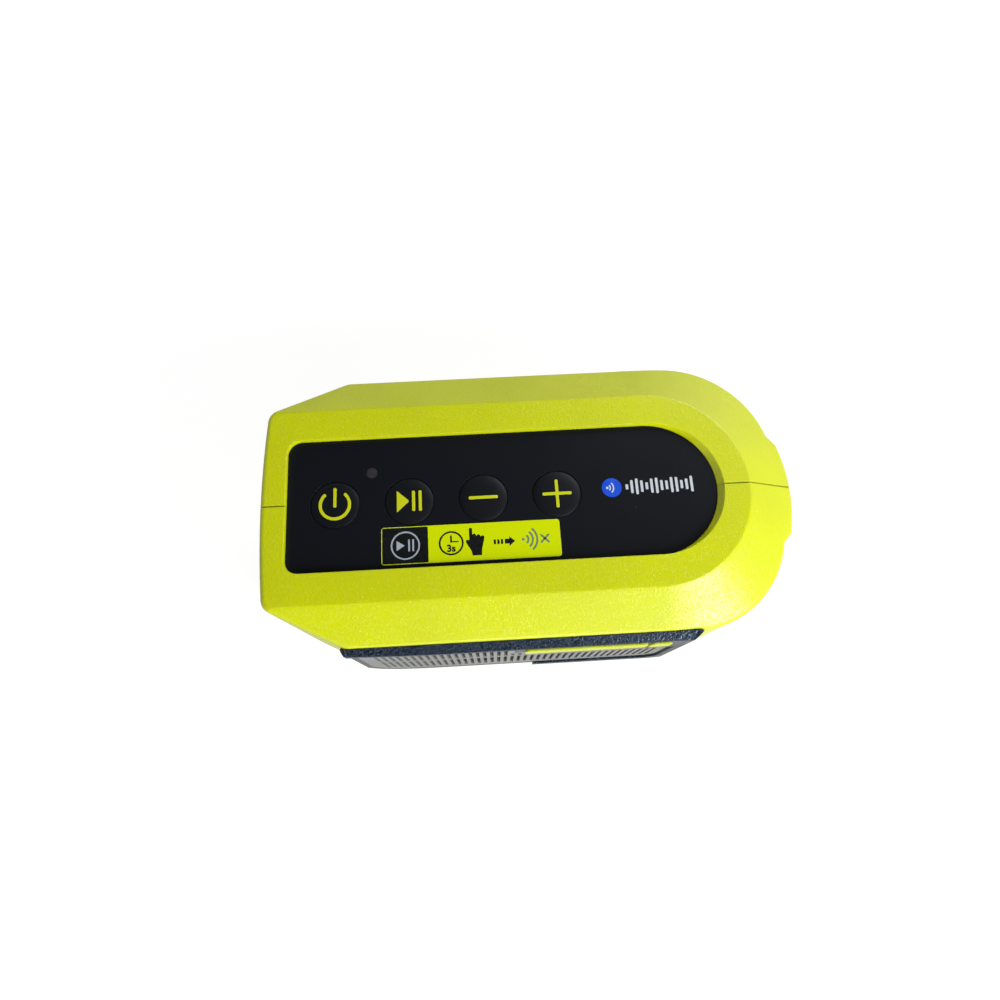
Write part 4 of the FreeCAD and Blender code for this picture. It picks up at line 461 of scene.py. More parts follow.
def rounded(left, low, right, high, corner, steps=4):
    """The outline of a rectangle with round corners."""
    centres = [
        (right - corner, high - corner), (left + corner, high - corner),
        (left + corner, low + corner), (right - corner, low + corner),
    ]
    return [
        on_circle(centre, corner, 90 * (quarter + step / steps))
        for quarter, centre in enumerate(centres) for step in range(steps + 1)
    ]


def stroke(first, second, width):
    """The outline of a straight line of ink with round ends."""
    run, rise = second[0] - first[0], second[1] - first[1]
    length = math.hypot(run, rise)
    bar = rounded(-width / 2, -width / 2, length + width / 2, width / 2, width / 2.01)
    cosine, sine = run / length, rise / length
    return [(first[0] + x * cosine - y * sine, first[1] + x * sine + y * cosine) for x, y in bar]


def band(centre, radius, width, start=0, end=360, steps=48):
    """Short four-sided strips that make a ring or an arc of ink."""
    turns = [start + (end - start) * step / steps for step in range(steps + 1)]
    inner, outer = radius - width / 2, radius + width / 2
    return [
        [
            on_circle(centre, reach, turn)
            for reach, turn in ((inner, here), (outer, here), (outer, there), (inner, there))
        ]
        for here, there in zip(turns, turns[1:])
    ]


def sound_waves(place, reaches, width, fan, steps):
    """Arcs of ink that fan out to the right of a place."""
    return [strip for reach in reaches for strip in band(place, reach, width, -fan, fan, steps)]


def printed(name, outlines, material, low=FILM_TOP, slot="sticker"):
    """Ink: flat outlines in mm, lifted to their place and given their thickness."""
    solid = bmesh.new()
    for outline in outlines:
        base = solid.faces.new([solid.verts.new((x * MM, y * MM, low * MM)) for x, y in outline])
        grown = bmesh.ops.extrude_face_region(solid, geom=[base], use_keep_orig=True)
        top = [part for part in grown["geom"] if isinstance(part, bmesh.types.BMVert)]
        bmesh.ops.translate(solid, verts=top, vec=(0, 0, INK * MM))
    bmesh.ops.remove_doubles(solid, verts=solid.verts, dist=1e-7)
    twice = [face for face in solid.faces if all(len(e.link_faces) > 2 for e in face.edges)]
    bmesh.ops.delete(solid, geom=twice, context="FACES")
    bmesh.ops.recalc_face_normals(solid, faces=solid.faces)
    bmesh.ops.triangulate(solid, faces=[face for face in solid.faces if len(face.verts) > 4])
    seat(cast(name, solid, material), slot)


def ink(name, colour, fleck, roughness=0.35):
    """Screen-printed ink: small pinholes and a slightly uneven film."""
    made, shader, place = finish(name, {"Specular IOR Level": 0.4})
    pores = node("TexVoronoi", {"Vector": place, "Scale": 5200.0})["Distance"]
    uneven = cloud(place, 900.0, 3.0)
    body = between(spread(uneven, 0.55, 0.75, 0.0, 0.5), colour, fleck)
    dress(shader, body, follow(uneven, roughness - 0.08, roughness + 0.1), relief(pores, 0.000004))
    return made


def form(kind, inputs, tree=None, **settings):
    """Adds a geometry node, and gives its first output."""
    return node(kind, inputs, tree, "GeometryNode", **settings)[0]


def bar_row_tree():
    """A row of bars with round corners. Their heights swing along the row."""
    tree, given, result = node_group(
        "bar_row",
        {
            "Count": "Int", "Pitch": "Float", "Width": "Float", "Tallest": "Float",
            "Swing": "Float", "Thickness": "Float", "Start": "Vector", "Material": "Material",
        },
        {"Geometry": "Geometry"}, "GeometryNodeTree",
    )
    outline = form("CurvePrimitiveQuadrilateral", {0: given["Width"], 1: given["Tallest"]})
    corner = times(given["Width"], BAR_ROUNDING)
    soft = form("FilletCurve", {"Curve": outline, "Radius": corner, "Count": 3}, mode="POLY")
    face = form("FillCurve", {0: soft})
    bar = form("ExtrudeMesh", {"Mesh": face, "Offset Scale": given["Thickness"]})
    turn = form("InputIndex", {}, tree)
    wave = maths("ABSOLUTE", maths("SINE", times(turn, BAR_SWAY)))
    drop = times(given["Swing"], maths("SUBTRACT", 1.0, wave))
    scale = node("CombineXYZ", {0: 1.0, 1: maths("SUBTRACT", 1.0, drop), 2: 1.0})[0]
    spacing = node("CombineXYZ", {0: given["Pitch"]})[0]
    line = form(
        "MeshLine", {"Count": given["Count"], "Start Location": given["Start"], "Offset": spacing}
    )
    row = form("InstanceOnPoints", {"Points": line, "Instance": bar, "Scale": scale})
    real = form("RealizeInstances", {0: row})
    wire(result[0], form("SetMaterial", {"Geometry": real, "Material": given["Material"]}))
    return tree


def final_mesh(carrier):
    """An object's shape, with its modifiers done, as a plain mesh."""
    graph = bpy.context.evaluated_depsgraph_get()
    return bpy.data.meshes.new_from_object(carrier.evaluated_get(graph), depsgraph=graph)


def grow(name, tree, **values):
    """Runs a geometry tree with its named inputs, and keeps the result as a plain mesh."""
    carrier = put(name, bpy.data.meshes.new(name))
    run = carrier.modifiers.new(name, "NODES")
    run.node_group = tree
    for item in tree.interface.items_tree:
        if item.in_out == "INPUT" and item.name in values:
            run[item.identifier] = values[item.name]
    bpy.context.view_layer.update()
    mesh = final_mesh(carrier)
    carrier.modifiers.remove(run)
    carrier.data = mesh
    return carrier


film_lime, shader, place = finish("film_lime", {"Specular IOR Level": 0.2})
orange_peel = cloud(place, 1500.0)
rubs = use(edge_rub, Vector=place, Radius=0.0002, Patches=RUB_PATCHES)
lime = between(orange_peel, (0.62, 0.75, 0.0), (0.59, 0.71, 0.0))
dress(
    shader, between(rubs["Mask"], lime, (0.75, 0.8, 0.2)),
    follow(orange_peel, 0.24, 0.38), relief(orange_peel, 0.000006),
)
coat(film_lime, "instruction_label")

ink_black = ink("ink_black", (0.004, 0.005, 0.006), (0.007, 0.008, 0.009))
ink_pale = ink("ink_pale", (0.36, 0.41, 0.48), (0.28, 0.32, 0.38))
ink_grey = ink("ink_grey", (0.16, 0.23, 0.14), (0.19, 0.27, 0.13))

left, line = RING_PLACE
printed("label_cell", [rounded(*BLACK_CELL)], ink_black)
play_mark = band(RING_PLACE, *RING) + [
    [(left - 2.35, line - 1.4), (left - 0.15, line), (left - 2.35, line + 1.4)],
    rounded(left + 0.75, line - 1.65, left + 1.22, line + 1.65, 0.1),
    rounded(left + 1.85, line - 1.65, left + 2.32, line + 1.65, 0.1),
]
printed("label_play_mark", play_mark, ink_pale, FILM_TOP + INK)

left, line = CLOCK_PLACE
clock = band(CLOCK_PLACE, *CLOCK_RING) + [
    stroke((left, line + 0.35), (left, line + 1.95), 0.46),
    stroke((left, line + 0.35), (left + 1.9, line + 0.35), 0.34),
]
hand = [  # the pointing finger, three knuckles, the wrist and the thumb
    (-17.56, -7.92), (-17.4, -7.59), (-17.14, -7.5), (-16.84, -7.62), (-16.71, -7.91),
    (-16.68, -9.46), (-16.41, -9.23), (-16.17, -9.16), (-15.9, -9.3), (-15.61, -9.85),
    (-15.34, -9.51), (-15.05, -9.41), (-14.72, -9.62), (-14.46, -10.07), (-14.22, -9.87),
    (-13.93, -9.77), (-13.6, -9.95), (-13.5, -10.35), (-13.66, -11.17), (-13.96, -12.48),
    (-14.24, -13.57), (-14.3, -14.66), (-14.36, -15.2), (-16.82, -15.2), (-16.94, -14.52),
    (-17.07, -13.97), (-17.41, -13.29), (-17.98, -12.38), (-18.35, -11.75), (-18.47, -11.25),
    (-18.36, -10.9), (-18.02, -10.77), (-17.56, -10.97),
]
printed("label_clock", clock, ink_black)
printed("label_hand", [hand], ink_black)

seconds = bpy.data.curves.new("label_seconds", "FONT")
seconds.body = "3s"
seconds.size = SECONDS_SIZE * MM
seconds.align_x = "CENTER"
seconds.extrude = INK / 2 * MM
seconds.offset = SECONDS_BOLD * MM
carrier = put("label_seconds", seconds)
mesh = final_mesh(carrier)
bpy.data.objects.remove(carrier)
mesh.transform(Matrix.Translation(
    ((left - 0.05) * MM, (line - SECONDS_DROP) * MM, (FILM_TOP + INK / 2) * MM)
))
paint(mesh, ink_black)
seat(put("label_seconds", mesh), "sticker")

line = ARROW_HEIGHT
head = [(-6.82, line - 1.32), (-5.32, line), (-6.82, line + 1.32)]
shaft = rounded(-8.05, line - 0.65, -6.8, line + 0.65, 0.05)
printed("label_arrow", [head, shaft], ink_black)
bar_row = bar_row_tree()
dashes = grow(
    "label_dashes", bar_row, Count=3, Pitch=DASH_PITCH * MM, Width=DASH_WIDTH * MM,
    Tallest=DASH_HEIGHT * MM, Swing=0.0, Thickness=INK * MM,
    Start=Vector((DASHES_START, ARROW_HEIGHT, FILM_TOP)) * MM, Material=ink_black,
)
seat(dashes, "sticker")

waves = sound_waves(WAVE_PLACE, (1.4, 2.6, 3.8), 0.55, 50, 16)
waves += band(WAVE_PLACE, 0.2, 0.4, steps=16)
across, line = CROSS_PLACE
cross = [stroke((across - 1, line - rise), (across + 1, line + rise), 0.55) for rise in (1, -1)]
printed("label_waves", waves, ink_grey)
printed("label_cross", cross, ink_grey)


# ---- Panel print ------------------------------------------------------------------------------
# To the right of the keys the panel carries a round blue mark with sound waves, and a row of
# pale level bars, both pad-printed on the plastic.

DISC_PLACE, DISC_RADIUS = (22.2, 1.85), 2.75
LEVELS_START, LEVEL_PITCH, LEVEL_WIDTH, LEVEL_HEIGHT = 26.4, 1.38, 0.72, 4.6

print_blue = ink("print_blue", (0.004, 0.07, 0.62), (0.01, 0.11, 0.7), 0.4)
print_pale = ink("print_pale", (0.56, 0.6, 0.66), (0.45, 0.49, 0.55), 0.45)
disc_edge = [on_circle(DISC_PLACE, DISC_RADIUS, turn) for turn in range(0, 360, 6)]
printed("print_disc", [disc_edge], print_blue, PANEL_LEVEL, "panel_black")
left, line = DISC_PLACE[0] - 1.35, DISC_PLACE[1]
waves = sound_waves((left, line), (0.95, 1.85), 0.36, 48, 12)
waves += band((left + 0.1, line), 0.18, 0.36, steps=16)
printed("print_waves", waves, print_pale, PANEL_LEVEL + INK, "panel_black")
levels = grow(
    "print_levels", bar_row, Count=14, Pitch=LEVEL_PITCH * MM, Width=LEVEL_WIDTH * MM,
    Tallest=LEVEL_HEIGHT * MM, Swing=0.68, Thickness=INK * MM,
    Start=Vector((LEVELS_START, DISC_PLACE[1], PANEL_LEVEL)) * MM, Material=print_pale,
)
seat(levels, "panel_black")


# ---- Front bezel and accents ------------------------------------------------------------------
# A charcoal bezel stands proud of the front, with the same etched grain as the shells but
# deeper. Two smooth lime bars are pressed into its recess beside the grille.

BEZEL_FALL = 1.1  # of the front edge of the top
TOP_LEVEL, FRONT_DEPTH = 62.3, -39.4  # that edge lies above and in front of these
SIDE_FOOT = (-53.12, -37.6)  # where the bezel's left side meets the shell, across and in depth
SIDE_SLANT = 1.3 / 1.2  # how far that side runs inward for each step forward
PEG_HEIGHTS = (30.0, 50.0)
PEG_REACH, PEG_ROOT = 0.9, -38.6  # half a peg's height, and how far forward its root reaches
LIP_POINTS = [(-53.1, -37.58, 0), (-51.6, -37.58, 0), (-53.1, -36.63, 1.6)]  # the last is inset
LIP_ENDS = ((26.0, 1), (61.0, -1))  # height, and the way to the lip's middle

# The pale blue-grey is rubbed wear on the edges and a painted glint on the grain's ridges; the pale
# specks are painted glints of the grain too.
bezel_charcoal = moulded(
    "bezel_charcoal", (0.003, 0.0075, 0.016), (0.15, 0.21, 0.31), 0.28, pitch=1400, depth=0.0002,
    crest_glint=0.1, specks=(900.0, 0.08, (0.22, 0.26, 0.32)),
    constants={"Specular IOR Level": 0.6, "Specular Tint": (0.6, 0.76, 1.0, 1)},
)


def shape_bezel(solid):
    """The top falls toward the front, and the pegs' roots end flush with the slanted left side.
    A thin lip behind that side follows the shell's corner and covers the pegs."""
    for vertex in solid.verts:
        across, depth, up = (part / MM for part in vertex.co)
        if up > TOP_LEVEL and depth < FRONT_DEPTH:
            vertex.co.z -= BEZEL_FALL * MM
        side = SIDE_FOOT[0] + (SIDE_FOOT[1] - depth) * SIDE_SLANT
        by_peg = any(abs(up - height) < PEG_REACH for height in PEG_HEIGHTS)
        if by_peg and PEG_ROOT < depth < SIDE_FOOT[1] and across < side:
            vertex.co.x = side * MM
    bmesh.ops.dissolve_degenerate(solid, dist=1e-7, edges=solid.edges)
    low, high = (
        [solid.verts.new((x * MM, y * MM, (end + inset * way) * MM)) for x, y, inset in LIP_POINTS]
        for end, way in LIP_ENDS
    )
    lip = [solid.faces.new(low), solid.faces.new(high)]
    for here, there in ((0, 1), (1, 2), (2, 0)):
        lip.append(solid.faces.new((low[here], low[there], high[there], high[here])))
    bmesh.ops.recalc_face_normals(solid, faces=lip)


smooth_skin("bezel_frame", "front_bezel", bezel_charcoal, "dark_bezel", shape_bezel)

accent_lime = moulded(
    "accent_lime", (0.56, 0.62, 0.003), (0.75, 0.8, 0.06), 0.35, pitch=3400, depth=0.000008,
    tone=0.05,
)
coat(accent_lime, "accent_bars")


# ---- Grille and dust cloth --------------------------------------------------------------------
# The grille is a grey painted plate with two rows of tall slots. A thin grey cloth behind it,
# stretched over the opening, keeps dust off the loudspeaker.

CLOTH_FACE = -37.85
CLOTH_THICKNESS = 0.2
CLOTH_CELL = 2.4
CLOTH_LEFT, CLOTH_RIGHT, CLOTH_LOW, CLOTH_HIGH = -49.42, 37.88, 19.5, 58.9
CLOTH_STEP_LEFT, CLOTH_STEP_HIGH = -7.12, 47.0
CLOTH_LEFT_CORNER, CLOTH_RIGHT_CORNER = 8.5, 5.0
SLACK, SLACK_SWING, SLACK_WAVES = 0.03, 0.02, (420, 510)
CLOTH_THREADS = 2600.0

grille_paint = moulded(
    "grille_paint", (0.235, 0.24, 0.235), (0.34, 0.34, 0.33), 0.46, pitch=3800,
    rub=0.5, edge=0.00025, ridges=0.25, tone=0.16, specks=(500.0, 0.06, (0.4, 0.4, 0.38)),
)
smooth_skin("slotted_grille", "speaker_grille", grille_paint, "grille_grey")


def make_open_weave():
    """Threads over and under each other: their height, and a mask of the gaps, which a cloth shows
    as painted shade.
    """
    tree, given, result = node_group(
        "open_weave", {"Across": "Float", "Along": "Float", "Threads": "Float"},
        {"Height": "Float", "Shaded_Gaps": "Float"},
    )

    def thread(position):
        turn = times(times(position, given["Threads"]), math.pi)
        return turn, maths("ABSOLUTE", maths("SINE", turn))

    turn_across, warp = thread(given["Across"])
    turn_along, weft = thread(given["Along"])
    over = times(maths("COSINE", turn_across), maths("COSINE", turn_along))
    lifted = spread(over, -1.0, 1.0)
    first = times(warp, lifted)
    second = times(weft, maths("SUBTRACT", 1.0, lifted))
    wire(result["Height"], maths("MAXIMUM", first, second))
    wire(result["Shaded_Gaps"], maths("LESS_THAN", maths("MAXIMUM", warp, weft), 0.55))
    return tree


open_weave = make_open_weave()


def woven(place, threads):
    """The weave of a cloth that stands across X and Z, with so many threads in a metre."""
    spot = node("SeparateXYZ", {0: place})
    return use(open_weave, Across=spot[0], Along=spot[2], Threads=threads)


def cloth_outline():
    """The cut of the cloth: round lower corners, and a step at the upper right."""
    left = (CLOTH_LEFT + CLOTH_LEFT_CORNER, CLOTH_LOW + CLOTH_LEFT_CORNER)
    right = (CLOTH_RIGHT - CLOTH_RIGHT_CORNER, CLOTH_LOW + CLOTH_RIGHT_CORNER)
    return [
        *(on_circle(left, CLOTH_LEFT_CORNER, turn) for turn in range(180, 271, 10)),
        *(on_circle(right, CLOTH_RIGHT_CORNER, turn) for turn in range(270, 361, 10)),
        (CLOTH_RIGHT, CLOTH_STEP_HIGH), (CLOTH_STEP_LEFT, CLOTH_STEP_HIGH),
        (CLOTH_STEP_LEFT, CLOTH_HIGH), (CLOTH_LEFT, CLOTH_HIGH),
    ]


def stretched_cloth(name, material):
    """The cloth as a fine grid that lies a little slack between the bars of the grille."""
    solid = bmesh.new()
    outline = [(x * MM, CLOTH_FACE * MM, z * MM) for x, z in cloth_outline()]
    solid.faces.new([solid.verts.new(corner) for corner in outline])
    area = sum(face.calc_area() for face in solid.faces)
    spans = ((1, 0, 0), CLOTH_LEFT, CLOTH_RIGHT), ((0, 0, 1), CLOTH_LOW, CLOTH_HIGH)
    for way, low, high in spans:
        line = low + CLOTH_CELL
        while line < high - CLOTH_CELL / 2:
            place = Vector(way) * (line * MM)
            everything = solid.verts[:] + solid.edges[:] + solid.faces[:]
            bmesh.ops.bisect_plane(solid, geom=everything, plane_co=place, plane_no=way)
            line += CLOTH_CELL
    for vertex in solid.verts:
        if not vertex.is_boundary:
            waves = (vertex.co.x * SLACK_WAVES[0], vertex.co.z * SLACK_WAVES[1])
            vertex.co.y += (SLACK + SLACK_SWING * math.sin(waves[0]) * math.sin(waves[1])) * MM
    for face in solid.faces:
        if face.normal.y > 0:
            face.normal_flip()
    made = cast(name, solid, material)
    made.data.shade_smooth()
    wall = made.modifiers.new("thickness", "SOLIDIFY")
    wall.thickness = CLOTH_THICKNESS * MM
    wall.offset = -1
    return made, area


cloth_grey, shader, place = finish("cloth_grey", {"Sheen Weight": 0.3, "Sheen Roughness": 0.5})
weave = woven(place, CLOTH_THREADS)
fuzz = cloud(place, 3000.0, 3.0)
# Painted shade: low threads are darker than raised ones, and the gaps are nearly black.
shaded_thread_grey = between(times(weave["Height"], fuzz), (0.3, 0.3, 0.29), (0.42, 0.42, 0.4))
dress(
    shader, between(weave["Shaded_Gaps"], shaded_thread_grey, (0.1, 0.1, 0.1)),
    follow(fuzz, 0.7, 0.95), relief(weave["Height"], 0.0001),
)
cloth, cut_area = stretched_cloth("speaker_cloth", cloth_grey)
seat(cloth, "dust_cloth", "dust_cloth")


# ---- Loudspeaker frame and magnet -------------------------------------------------------------
# A pressed steel basket with a square flange carries a ferrite ring between two steel plates. A
# ring of foam seals the flange to the shell's wall, and small screws hold it.

DRIVER_PLACE = Vector((-28.12, -35.2, 38.0)) * MM


def metal(name, colour, dull, roughness, stretch=(1, 1, 1), pitch=1200.0, depth=0.000006, rub=0.6):
    """Plated or bare metal: brushed or spangled, duller in patches and bright on its edges."""
    made, shader, place = finish(name, {"Metallic": 1.0})
    along = node("Mapping", {"Vector": place, "Scale": stretch})[0]
    brush = cloud(along, pitch, 4.0)
    patches = cloud(place, 140.0, 3.0)
    rubs = use(edge_rub, Vector=place, Radius=0.0002, Patches=500.0)
    body = between(spread(patches, 0.4, 0.7), colour, dull)
    bright = tuple(min(1.0, part * 1.35) for part in colour)
    body = between(times(rubs["Mask"], rub), body, bright)
    rough = follow(brush, roughness - 0.1, roughness + 0.12)
    rough = maths("ADD", rough, times(patches, 0.1))
    dress(shader, body, rough, relief(brush, depth, rubs["Rounded"]))
    return made


basket_steel = metal("basket_steel", (0.42, 0.42, 0.43), (0.3, 0.3, 0.31), 0.4, (1, 1, 6))
plate_steel = metal("plate_steel", (0.5, 0.48, 0.42), (0.34, 0.33, 0.3), 0.34, (1, 8, 1))
coat(basket_steel, "driver_frame")
coat(plate_steel, "top_plate", "back_plate")

ferrite_dark, shader, place = finish("ferrite_dark")
crumbs = cloud(place, 2400.0, 5.0)
chips = node("TexVoronoi", {"Vector": place, "Scale": 700.0}, feature="F2")["Distance"]
dress(
    shader, between(crumbs, (0.03, 0.03, 0.033), (0.07, 0.07, 0.075)),
    spread(chips, 0, 1, 0.45, 0.75), relief(crumbs, 0.00005),
)
coat(ferrite_dark, "ring_magnet")

foam_black = moulded(
    "foam_black", (0.02, 0.02, 0.021), (0.05, 0.05, 0.05), 0.9, pitch=2600, depth=0.00012,
    ridges=0.05, constants={"Sheen Weight": 0.3},
)
GASKET_PROFILE = [
    (18.05, -0.72), (18.0, -0.4), (18.05, -0.1), (18.25, -0.02), (18.8, 0.0), (19.8, 0.0),
    (20.35, -0.02), (20.55, -0.1), (20.6, -0.4), (20.55, -0.72), (20.3, -0.8), (18.3, -0.8),
]
gasket = turned("foam_gasket", GASKET_PROFILE, foam_black, DRIVER_PLACE, upward=False)
seat(gasket, "soft_rubber", "driver_gasket")

strip_resin = moulded(
    "strip_resin", (0.5, 0.36, 0.16), (0.62, 0.5, 0.28), 0.5, pitch=1800, ridges=0.8
)
coat(strip_resin, "terminal_strip")


# ---- Cone, surround, dust cap, voice coil and spider ------------------------------------------
# The cone is pressed black paper with ribs, glued to a rolled rubber surround. Its voice coil
# is copper wire on a film tube, centred by a corrugated disc of resin-dipped cloth.

PAPER_WALL, SURROUND_WALL, SPIDER_WALL = 0.38, 0.35, 0.2
NECK, MOUTH = (6.68, -7.3), (13.1, -1.7)  # the cone's ends, as radius and height
FLARE, RIB_HEIGHT, RIBS = 0.92, 0.09, 10
ROLL_START, ROLL_END, ROLL_HEIGHT = (14.3, -1.325), (16.6, -0.975), 1.3  # of the surround
RIPPLE_START, RIPPLE_END, RIPPLE_HEIGHT, RIPPLES = 7.1, 11.6, 0.32, 7  # of the spider
SPIDER_LEVEL, SPIDER_THREADS = -9.1, 1500.0
SURROUND_PARTS, SPIDER_PARTS = 16, 8  # sectors
COIL_RADIUS, COIL_LENGTH, COIL_WIRE, COIL_TURNS = 6.67, 4.2, 0.17, 12.0
COIL_PLACE = (-28.12, -18.85, 38.0)


def rising(start, end, steps, height):
    """Points of (radius, height) from one radius to another, with a height for each share."""
    shares = [step / steps for step in range(steps + 1)]
    return [(start + (end - start) * share, height(share)) for share in shares]


def walled(points, thickness):
    """A closed profile: a line of (radius, height) points given a wall on both sides."""
    front, back = [], []
    for index, (radius, height) in enumerate(points):
        before, after = points[max(index - 1, 0)], points[min(index + 1, len(points) - 1)]
        run, rise = after[0] - before[0], after[1] - before[1]
        length = math.hypot(run, rise)
        shift = (-rise / length * thickness / 2, run / length * thickness / 2)
        front.append((radius + shift[0], height + shift[1]))
        back.append((radius - shift[0], height - shift[1]))
    return front + back[::-1]


paper_black = moulded(
    "paper_black", (0.018, 0.018, 0.02), (0.05, 0.05, 0.05), 0.82, pitch=1500, depth=0.00006,
    ridges=0.9, tone=0.3,
)


def cone_height(share):
    rib = RIB_HEIGHT * math.sin(share * math.pi * RIBS) ** 2 if 0.1 < share < 0.9 else 0
    return NECK[1] + (MOUTH[1] - NECK[1]) * share ** FLARE + rib


cone_line = rising(NECK[0], MOUTH[0], 36, cone_height) + [(13.5, MOUTH[1]), (14.28, MOUTH[1])]
cone = turned("paper_cone", walled(cone_line, PAPER_WALL), paper_black, DRIVER_PLACE, upward=False)
seat(cone, "cone_paper", "cone", body="cone_assembly")
coat(paper_black, "dust_cap")

former_film = moulded(
    "former_film", (0.5, 0.33, 0.1), (0.62, 0.45, 0.18), 0.35, pitch=900, depth=0.00001, ridges=0.9
)
coat(former_film, "coil_former")

rubber_black = moulded(
    "rubber_black", (0.012, 0.012, 0.013), (0.05, 0.05, 0.05), 0.5, pitch=2800, depth=0.00001,
    constants={"Sheen Weight": 0.15},
)


def roll_height(share):
    level = ROLL_START[1] + (ROLL_END[1] - ROLL_START[1]) * share
    return level + ROLL_HEIGHT * math.sin(share * math.pi) ** 0.8


surround_line = [(radius, ROLL_START[1]) for radius in (13.15, 13.7, 14.2)]
surround_line += rising(ROLL_START[0], ROLL_END[0], 16, roll_height)[1:-1]
surround_line += [(radius, ROLL_END[1]) for radius in (16.7, 17.2, 17.74)]

spider_cloth, shader, place = finish("spider_cloth", {"Sheen Weight": 0.2})
weave = woven(place, SPIDER_THREADS)
resin = cloud(place, 500.0, 3.0)
# Painted shade: the threads are darker where the weave lies low.
body = between(weave["Height"], (0.3, 0.19, 0.05), (0.62, 0.45, 0.16))
dress(
    shader, between(resin, body, (0.5, 0.34, 0.1)), follow(resin, 0.45, 0.8),
    relief(weave["Height"], 0.0001),
)


def ripple_height(share):
    return SPIDER_LEVEL + RIPPLE_HEIGHT * math.sin(share * math.pi * RIPPLES)


spider_line = [(6.55, SPIDER_LEVEL), (RIPPLE_START, SPIDER_LEVEL)]
spider_line += rising(RIPPLE_START, RIPPLE_END, 40, ripple_height)[1:]
spider_line += [(12.1, SPIDER_LEVEL), (12.58, SPIDER_LEVEL)]


def flexing_ring(name, line, wall, parts, material, node_name):
    """A ring that flexes between the frame and the cone, turned as separate sectors in place of its
    node. It is cut into sectors, because a piece bends along one straight line, here the sector's
    own radius, from fixed to moving."""
    for part in range(parts):
        start, end = 360 * part / parts, 360 * (part + 1) / parts
        sector = turned(
            f"{name}_{part + 1:02d}", walled(line, wall), material, DRIVER_PLACE,
            steps=96 // parts, sweep=(start, end), upward=False,
        )
        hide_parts(node_name)
        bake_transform(sector)


flexing_ring(
    "surround_sector", surround_line, SURROUND_WALL, SURROUND_PARTS, rubber_black,
    "cone_surround",
)
flexing_ring(
    "spider_sector", spider_line, SPIDER_WALL, SPIDER_PARTS, spider_cloth,
    "spider",
)


def winding_tree():
    """One wire wound as a helix round the former."""
    tree, given, result = node_group(
        "wound_wire",
        {
            "Turns": "Float", "Radius": "Float", "Length": "Float", "Wire": "Float",
            "Place": "Vector", "Material": "Material",
        },
        {"Geometry": "Geometry"}, "GeometryNodeTree",
    )
    helix = form("CurveSpiral", {
        "Resolution": 48, "Rotations": given["Turns"], "Start Radius": given["Radius"],
        "End Radius": given["Radius"], "Height": given["Length"],
    })
    section = form("CurvePrimitiveCircle", {"Resolution": 8, "Radius": given["Wire"]})
    tube = form("CurveToMesh", {"Curve": helix, "Profile Curve": section, "Fill Caps": True})
    laid = form("Transform", {
        "Geometry": tube, "Translation": given["Place"], "Rotation": (math.radians(90), 0, 0),
    })
    real = form("RealizeInstances", {0: laid})
    wire(result[0], form("SetMaterial", {"Geometry": real, "Material": given["Material"]}))
    return tree


copper_wire = metal("copper_wire", (0.78, 0.33, 0.14), (0.6, 0.22, 0.08), 0.28, pitch=900.0)
winding = grow(
    "wound_coil", winding_tree(), Turns=COIL_TURNS, Radius=COIL_RADIUS * MM,
    Length=COIL_LENGTH * MM, Wire=COIL_WIRE * MM, Place=Vector(COIL_PLACE) * MM,
    Material=copper_wire,
)
winding.data.shade_smooth()
seat(winding, "copper_winding", "coil_winding", body="cone_assembly")


# ---- Circuit boards and what they carry -------------------------------------------------------
# Green lacquered glass-fibre boards: the key board lies under the panel with its four push
# switches, and the main board stands at the back with the radio, amplifier and power parts.

SLEEVE_END = 6.15  # the depth at which a capacitor's sleeve gives way to bare metal
PART_SIZE = (1.6, 0.8, 0.5)  # a small part's length, width and height
BODY_SHARE, BODY_GROWTH, END_SHARE = 0.62, 0.94, 0.19  # its dark body and its tinned ends
UPRIGHT = (math.radians(90), 0.0, 0.0)
PART_ROWS = [  # name, first place, step, turn and count
    ("key_board_parts", (-44.0, -9.6, 58.4), (3.4, 0, 0), (0.0, 0.0, 0.0), 12),
    ("main_board_parts_low", (-32.0, 16.62, 24.0), (0, 0, 2.2), UPRIGHT, 6),
    ("main_board_parts_high", (-29.0, 16.62, 24.0), (0, 0, 2.2), UPRIGHT, 6),
]


def board_finish(name, second):
    """Green lacquer over copper tracks and small tinned pads, on a board along X and another."""
    made, shader, place = finish(name, {"Coat Weight": 0.3, "Coat Roughness": 0.2})
    spot = node("SeparateXYZ", {0: place})
    laid = node("CombineXYZ", {0: spot["X"], 1: spot[second]})[0]
    tracks = node("TexBrick", {
        "Vector": laid, "Scale": 130.0, "Mortar Size": 0.035, "Color1": (0, 0, 0),
        "Color2": (0.2, 0.2, 0.2), "Mortar": (1, 1, 1),
    })["Color"]
    pads = node("TexVoronoi", {"Vector": laid, "Scale": 330.0, "Randomness": 0.55})
    dots = maths("LESS_THAN", pads["Distance"], 0.17)
    glass = cloud(place, 800.0, 3.0)
    green = between(glass, (0.008, 0.1, 0.035), (0.012, 0.14, 0.05))
    green = between(times(tracks, 0.55), green, (0.04, 0.3, 0.09))
    wire(shader["Metallic"], times(dots, 0.9))
    dress(
        shader, between(dots, green, (0.68, 0.66, 0.58)), follow(glass, 0.25, 0.4),
        relief(maths("MAXIMUM", tracks, dots), 0.00003),
    )
    return made


coat(board_finish("key_board_lacquer", "Y"), "key_board")
coat(board_finish("main_board_lacquer", "Z"), "main_board")

switch_black = moulded(
    "switch_black", (0.03, 0.03, 0.031), (0.09, 0.09, 0.09), 0.4, pitch=3000, depth=0.00001
)
coat(switch_black, "key_switches")

